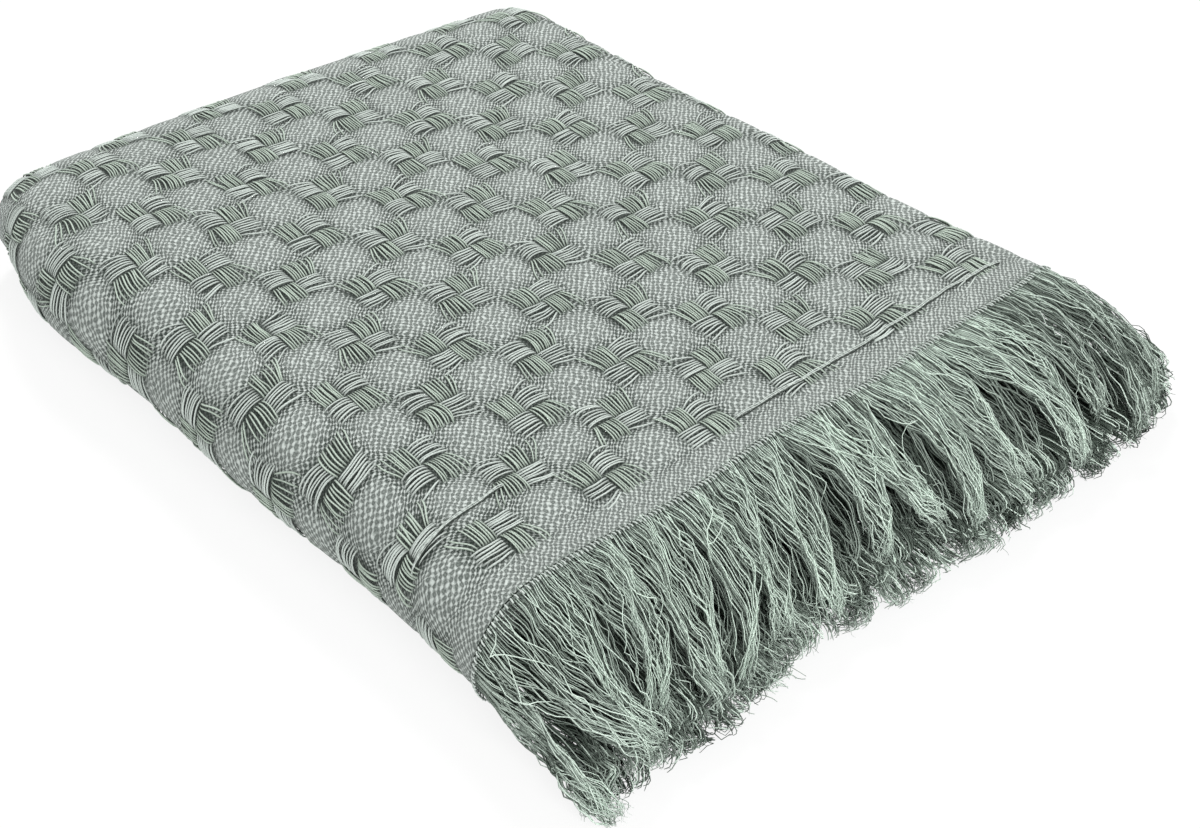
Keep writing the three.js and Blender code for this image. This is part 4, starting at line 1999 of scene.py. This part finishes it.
@dataclass
class Tufts(LooseEnds):
    """The curled tufts at the floor, where the ends of the lower headers come out."""

    tufts: int = 150
    yarns: int = 18
    points: int = 9
    rows: int = 3
    middle_spread: float = 0.0012
    row_spread: float = 0.1

    # a tuft leans, though not past the left edge, and turns in one loop with all its yarns
    lean_spread: float = 0.006
    most_lean: float = 0.007
    left_edge: float = 0.02
    turn_spread: float = 5.0
    loop: Pair = (0.0012, 0.0036)
    loop_rise: float = 0.6
    loop_phase: float = 1.0

    # a tuft from above and from the side: the rows behind start and end further back and higher
    half_width: float = 0.0045
    yarn_lean: float = 0.003
    inset: float = 0.001
    row_back: float = 0.006
    start_back: float = 0.02
    arc: float = 2.0
    end_spread: float = 0.0016
    floor_gap: float = 0.002
    end_rise: float = 0.009
    start_height: float = 0.004
    start_rise: float = 0.014
    bulge: float = 0.003
    height_spread: float = 0.0012

    # single yarns: they turn and curl on their own and grow thin
    phase_spread: float = 0.35
    own_turn: float = 14.0
    own_odds: Pair = (2.0, 0.00022)
    own_over: float = 0.4
    yarn_share: float = 1.1
    yarn_spread: float = 0.15
    fine: float = 0.6

    # tones: tufts differ, the right ones are darker, some yarns are bright, the roots carry painted
    # shade and the tips are lighter
    tuft_tone: Pair = (0.1, 0.75)
    right_shade: float = 0.4
    right_from: Pair = (0.24, 0.05)
    yarn_tone: Pair = (0.5, 1.2)
    bright_from: float = 0.8
    bright_tone: float = 1.2
    root_shade: float = 0.75
    tip_light: float = 0.95
    tip_light_from: Pair = (-0.1, 0.9)

    def carpet(self) -> Strands:
        """Sets the tufts side by side along the front, in rows.

        Returns:
            The strands.
        """
        draw = self.random
        line, front = np.array(CARPET_LINE).T
        tuft = np.repeat(np.arange(self.tufts), self.yarns)
        column = (len(tuft), 1)
        middle = np.linspace(line[0], line[-1], self.tufts)
        middle = middle + draw.normal(0, self.middle_spread, self.tufts)
        row = np.arange(self.tufts) % self.rows / (self.rows - 1)
        row = np.abs(row + draw.normal(0, self.row_spread, self.tufts))
        lean = draw.normal(0, self.lean_spread, self.tufts)
        lean = np.clip(lean, -self.most_lean * smooth(middle / self.left_edge), self.most_lean)
        phase = draw.uniform(0, TURN, self.tufts)
        turns = draw.normal(0, self.turn_spread, self.tufts)
        loop = draw.uniform(*self.loop, self.tufts)
        t = np.linspace(0, 1, self.points)[None, :]
        back = row[tuft][:, None]
        x = middle[tuft][:, None] + draw.uniform(-self.half_width, self.half_width, column)
        own_lean = draw.uniform(-self.yarn_lean, self.yarn_lean, column)
        x = x + (lean[tuft][:, None] + own_lean) * t
        y = np.interp(middle, line, front)[tuft][:, None] - self.inset - self.row_back * back
        y = y - (self.start_back + self.row_back * back) * (1 - np.sin(self.arc * t))
        y = y + draw.normal(0, self.end_spread, column) * t
        start = self.start_height + self.start_rise * back
        z = self.floor_gap + lerp(start, self.end_rise * back, t) + self.bulge * np.sin(math.pi * t)
        angle = phase[tuft][:, None] + turns[tuft][:, None] * t
        angle = angle + draw.normal(0, self.phase_spread, column)
        own = draw.normal(0, self.own_turn, column) * t + draw.uniform(0, TURN, column)
        size = loop[tuft][:, None] * t
        fine = draw.gamma(*self.own_odds, column) * smooth(t / self.own_over)
        x = x + size * np.sin(angle) + fine * np.sin(own)
        y = y + size * np.cos(angle) + fine * np.cos(own)
        z = z + self.loop_rise * size * np.sin(angle + self.loop_phase)
        z = z + draw.uniform(-1, 1, column) * self.height_spread
        path = self.throw.shift + np.stack([x, -y, z], axis=-1)
        radius = self.yarn_share * self.radius * (1 + draw.normal(0, self.yarn_spread, column))
        radius = radius * (1 - self.fine * t**3)
        tone = draw.uniform(*self.tuft_tone, self.tufts)
        tone = tone * (1 - self.right_shade * ramp(middle, *self.right_from))
        tone = tone[tuft] * draw.uniform(*self.yarn_tone, len(tuft))
        tone = tone + self.bright_tone * (draw.uniform(0, 1, len(tuft)) > self.bright_from)
        # painted shade on the roots under the fringe; the tips lighter
        shade = self.root_shade - self.tip_light * ramp(t, *self.tip_light_from)
        return Strands(path, radius, tone, shade).off_floor()


@dataclass(frozen=True)
class Fray:
    """How the ends of some yarns fray: how many fibres, how loose, their tone and from where."""

    count: int
    loose: float
    tone: float
    points: int


@dataclass
class Fluff:
    """Short curled fibres round the ends of the yarns."""

    random: np.random.Generator
    points: int = 5
    radius: float = 0.00012
    radius_share: Pair = (0.7, 1.3)
    size: Pair = (0.0006, 0.0018)
    bend: float = 0.45
    turns: Pair = (0.6, 1.4)
    curl: float = 0.16
    fine: float = 0.5
    tone: Pair = (0.5, 1.25)

    def fray(self, yarns: Strands, kind: Fray) -> Strands:
        """Frays the ends of yarns.

        Args:
            yarns: The yarns.
            kind: How they fray.

        Returns:
            The fibres.
        """
        draw = self.random
        ends, count = yarns.path[:, -kind.points :], kind.count
        picked = ends[draw.integers(0, len(ends), count)]
        start = picked[np.arange(count), draw.integers(1, picked.shape[1], count)]
        way = picked[:, -1] - picked[:, 0]
        way = way / np.linalg.norm(way, axis=1, keepdims=True)
        way = way + draw.normal(0, kind.loose, (count, 3))
        size = draw.uniform(*self.size, (count, 1, 1))
        t = np.linspace(0, 1, self.points)[None, :, None]
        bend = draw.normal(0, self.bend, (count, 1, 3))
        wind = draw.uniform(*self.turns, (count, 1, 1)) * TURN
        curl = draw.normal(0, self.curl, (count, 1, 3)) * np.sin(wind * t)
        path = start[:, None] + size * (way[:, None] * t + bend * t**2 + curl)
        radius = self.radius * draw.uniform(*self.radius_share, (count, 1))
        tone = kind.tone * draw.uniform(*self.tone, count) ** 2
        return Strands(path, radius * (1 - self.fine * t[..., 0]), tone, 0.0)


@dataclass
class Fringe:
    """The warp ends left loose at both headers."""

    throw: FoldedThrow
    sides: int = 3
    core_sides: int = 4
    thin: float = 2.0
    frayed_tips: Fray = Fray(1500, 0.35, 1.9, 6)
    frayed_ends: Fray = Fray(700, 0.8, 1.0, 4)

    # how far forward each bunch of a lower group lies
    reaches: tuple[float, ...] = (0.054, 0.054, 0.046, 0.047, 0.050, 0.053, 0.055, 0.050)

    def __post_init__(self) -> None:
        """Seeds the small differences between one yarn and the next."""
        random = np.random.default_rng(SEED + 1)
        self.upper = UpperLocks(self.throw, random)
        self.lower = LowerBunches(self.throw, random)
        self.tufts = Tufts(self.throw, random)
        self.fluff = Fluff(random)

    def build(self, finish: bpy.types.Material) -> list[bpy.types.Object]:
        """Makes both fringes.

        Args:
            finish: The yarn's material.

        Returns:
            The pieces; the first stands for the outer end's solid, the next for the inner's.
        """
        between = [self.upper.between(*pair) for pair in zip(TOP_LOCKS, TOP_LOCKS[1:])]
        between.append(self.upper.between(TOP_LOCKS[-2], CORNER_LOCKS[-2]))
        locks = Strands.join([self.upper.hang(lock) for lock in TOP_LOCKS + CORNER_LOCKS])
        gaps = Strands.join([self.upper.hang(lock, self.thin) for lock in between])
        strays = Strands.join([self.upper.hang(lock, stray=True) for lock in TOP_LOCKS])
        parts = {"outer_fringe": locks, "inner_fringe": self._behind()}
        cores = []
        for end, height in (("outer", self.throw.outer), ("inner", -self.throw.outer)):
            low = self._low_bunches()
            yarns = [self.lower.lay(bunch, height) for bunch in low]
            parts[f"{end}_fringe_below"] = Strands.join(yarns)
            cores += [self.lower.lay(bunch, height, core=True) for bunch in low]
        parts["fringe_cores"] = Strands.join(cores)
        parts["outer_fringe_between"] = gaps
        parts["stray_yarns"] = strays
        parts["fringe_tufts"] = self.tufts.carpet()
        tips, ends = Strands.join([locks, gaps]), parts["fringe_tufts"]
        parts["frayed_tips"] = self.fluff.fray(tips, self.frayed_tips)
        parts["frayed_ends_below"] = self.fluff.fray(ends, self.frayed_ends)
        pieces = []
        for name, strands in parts.items():
            sides = self.core_sides if strands is parts["fringe_cores"] else self.sides
            pieces.append(add_piece(strands.mesh(name, sides), finish))
        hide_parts("outer_end_fringe")
        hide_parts("inner_end_fringe")
        return pieces

    def _behind(self) -> Strands:
        """The inner end's fringe right under the uppermost one.

        Returns:
            Its strands.
        """
        lower = self.lower
        # these lie under the uppermost fringe: their lower tones and dark roots are painted shade
        behind = lower.bunches("wide fold", (0.048, 0.046), squeeze=0.9, tone=0.4, dark=0.6)
        behind += lower.bunches("top group", (0.05,) * 9, squeeze=0.95, tone=0.85, dark=0.45)
        behind += lower.bunches("crease", (0.055,), tone=0.8)
        return Strands.join([lower.lay(bunch, -self.throw.outer) for bunch in behind])

    def _low_bunches(self) -> list[Bunch]:
        """Divides the three lower groups' headers into bunches.

        Returns:
            The bunches.
        """
        low = []
        for stretch in ("bottom group", "third group", "second group"):
            row = self.reaches if stretch == "second group" else self.reaches[::-1]
            low += self.lower.bunches(stretch, row, squeeze=0.75, tone=0.85)
        return low + self.lower.bunches("inner fold", (0.052,), squeeze=0.8, tone=0.85)


# ---- Stage ----------------------------------------------------------------------------------


@dataclass(frozen=True)
class Lamp:
    """A square soft lamp: where it hangs, its side and its watts."""

    name: str
    place: tuple[float, float, float]
    size: float
    power: float


@dataclass
class Studio:
    """A plain white floor, soft lamps and the camera."""

    camera_place: tuple[float, float, float] = (-0.38883, -0.45197, 0.4597)
    azimuth: float = -42.07
    elevation: float = 40.48
    roll: float = 1.82
    lens: float = 48.0
    film_width: float = 36.0
    clip: Pair = (0.01, 50.0)
    aim: tuple[float, float, float] = (0.0, 0.0, 0.02)
    world_light: float = 0.62
    floor_size: float = 6.0
    floor_share: float = 0.86

    lamps = (
        Lamp("key", (0.75, 1.2, 1.6), 0.5, 30.0),
        Lamp("fill", (-0.3, -1.5, 1.2), 0.8, 18.0),
    )

    def camera(self) -> None:
        """Adds the camera."""
        data = bpy.data.cameras.new("camera")
        data.lens = self.lens
        data.sensor_width = self.film_width
        data.clip_start, data.clip_end = self.clip
        camera = bpy.data.objects.new("camera", data)
        turn = (
            Matrix.Rotation(math.radians(self.azimuth), 4, "Z")
            @ Matrix.Rotation(math.radians(90 - self.elevation), 4, "X")
            @ Matrix.Rotation(math.radians(self.roll), 4, "Z")
        )
        camera.matrix_world = Matrix.Translation(self.camera_place) @ turn
        bpy.context.scene.collection.objects.link(camera)
        bpy.context.scene.camera = camera

    def hang(self, lamp: Lamp) -> None:
        """Hangs a lamp and aims it at the stack.

        Args:
            lamp: The lamp.
        """
        data = bpy.data.lights.new(lamp.name, "AREA")
        data.size = lamp.size
        data.energy = lamp.power
        hung = bpy.data.objects.new(lamp.name, data)
        turn = (Vector(self.aim) - Vector(lamp.place)).to_track_quat("-Z", "Y")
        hung.matrix_world = Matrix.Translation(lamp.place) @ turn.to_matrix().to_4x4()
        bpy.context.scene.collection.objects.link(hung)

    def floor(self) -> None:
        """Adds the floor, white to the camera but for the shadow."""
        shape = bmesh.new()
        bmesh.ops.create_grid(shape, x_segments=1, y_segments=1, size=self.floor_size)
        mesh = bpy.data.meshes.new("floor")
        shape.to_mesh(mesh)
        shape.free()
        floor = bpy.data.objects.new("floor", mesh)
        bpy.context.scene.collection.objects.link(floor)
        tree = Tree(bpy.data.materials.new("floor"))
        rays = tree.node("ShaderNodeLightPath", {}, {}).outputs
        seen = Signal(tree, rays["Is Camera Ray"]).highest(rays["Is Glossy Ray"])
        seen = seen.highest(rays["Is Transmission Ray"])
        matt = tree.node("ShaderNodeBsdfDiffuse", {}, {"Color": srgb(250, 251, 250)})
        glow = tree.node("ShaderNodeEmission", {}, {"Color": WHITE, "Strength": 1.0})
        blend = tree.blend(seen * self.floor_share, matt, glow)
        tree.node("ShaderNodeOutputMaterial", {}, {"Surface": blend.outputs[0]})
        mesh.materials.append(tree.owner)

    def world(self) -> None:
        """Lights the scene softly from all round, white to the camera."""
        world = bpy.data.worlds.new("studio")
        bpy.context.scene.world = world
        tree = Tree(world)
        rays = tree.node("ShaderNodeLightPath", {}, {})
        soft = {"Color": WHITE, "Strength": self.world_light}
        soft_light = tree.node("ShaderNodeBackground", {}, soft)
        white = tree.node("ShaderNodeBackground", {}, {"Color": WHITE})
        blend = tree.blend(rays.outputs["Is Camera Ray"], soft_light, white)
        tree.node("ShaderNodeOutputWorld", {}, {0: blend.outputs[0]})

    def build(self) -> None:
        """Adds the camera, the floor and the light."""
        self.camera()
        self.floor()
        self.world()
        for lamp in self.lamps:
            self.hang(lamp)
        bpy.context.scene.view_settings.view_transform = "Standard"


# ---- Putting it together --------------------------------------------------------------------


def main() -> None:
    """Builds the throw on its frame and the studio round it."""
    logging.basicConfig(level=logging.INFO, format="%(name)s: %(message)s")
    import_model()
    Studio().build()
    throw = FoldedThrow()
    weave = Honeycomb()
    cloth = Cloth(throw, weave).build()
    # the warp yarn is greener and darker than the weft yarn: the green is its own, the darker tone
    # partly painted shade on floats that take the light less
    warp_yarn = YarnFinish("warp_yarn", srgb(196, 210, 197), srgb(24, 36, 26), painted_flank_shade=0.7)
    weft_yarn = YarnFinish("weft_yarn", srgb(207, 216, 210), srgb(28, 39, 31), painted_flank_shade=0.7)
    finishes = {Thread.WARP: warp_yarn.build(), Thread.WEFT: weft_yarn.build()}
    random = np.random.default_rng(SEED)
    floats = Baskets(throw, weave, random).build(finishes)
    floats += SlackWefts(throw, weave, random).build(finishes[Thread.WEFT])
    floats += Hem(throw, weave, random).build(finishes[Thread.WEFT])
    fringe_yarn = YarnFinish("fringe_yarn", srgb(236, 253, 240), srgb(14, 36, 20), painted_flank_shade=0.5)
    fringes = Fringe(throw).build(fringe_yarn.build())


if __name__ == "__main__":
    main()
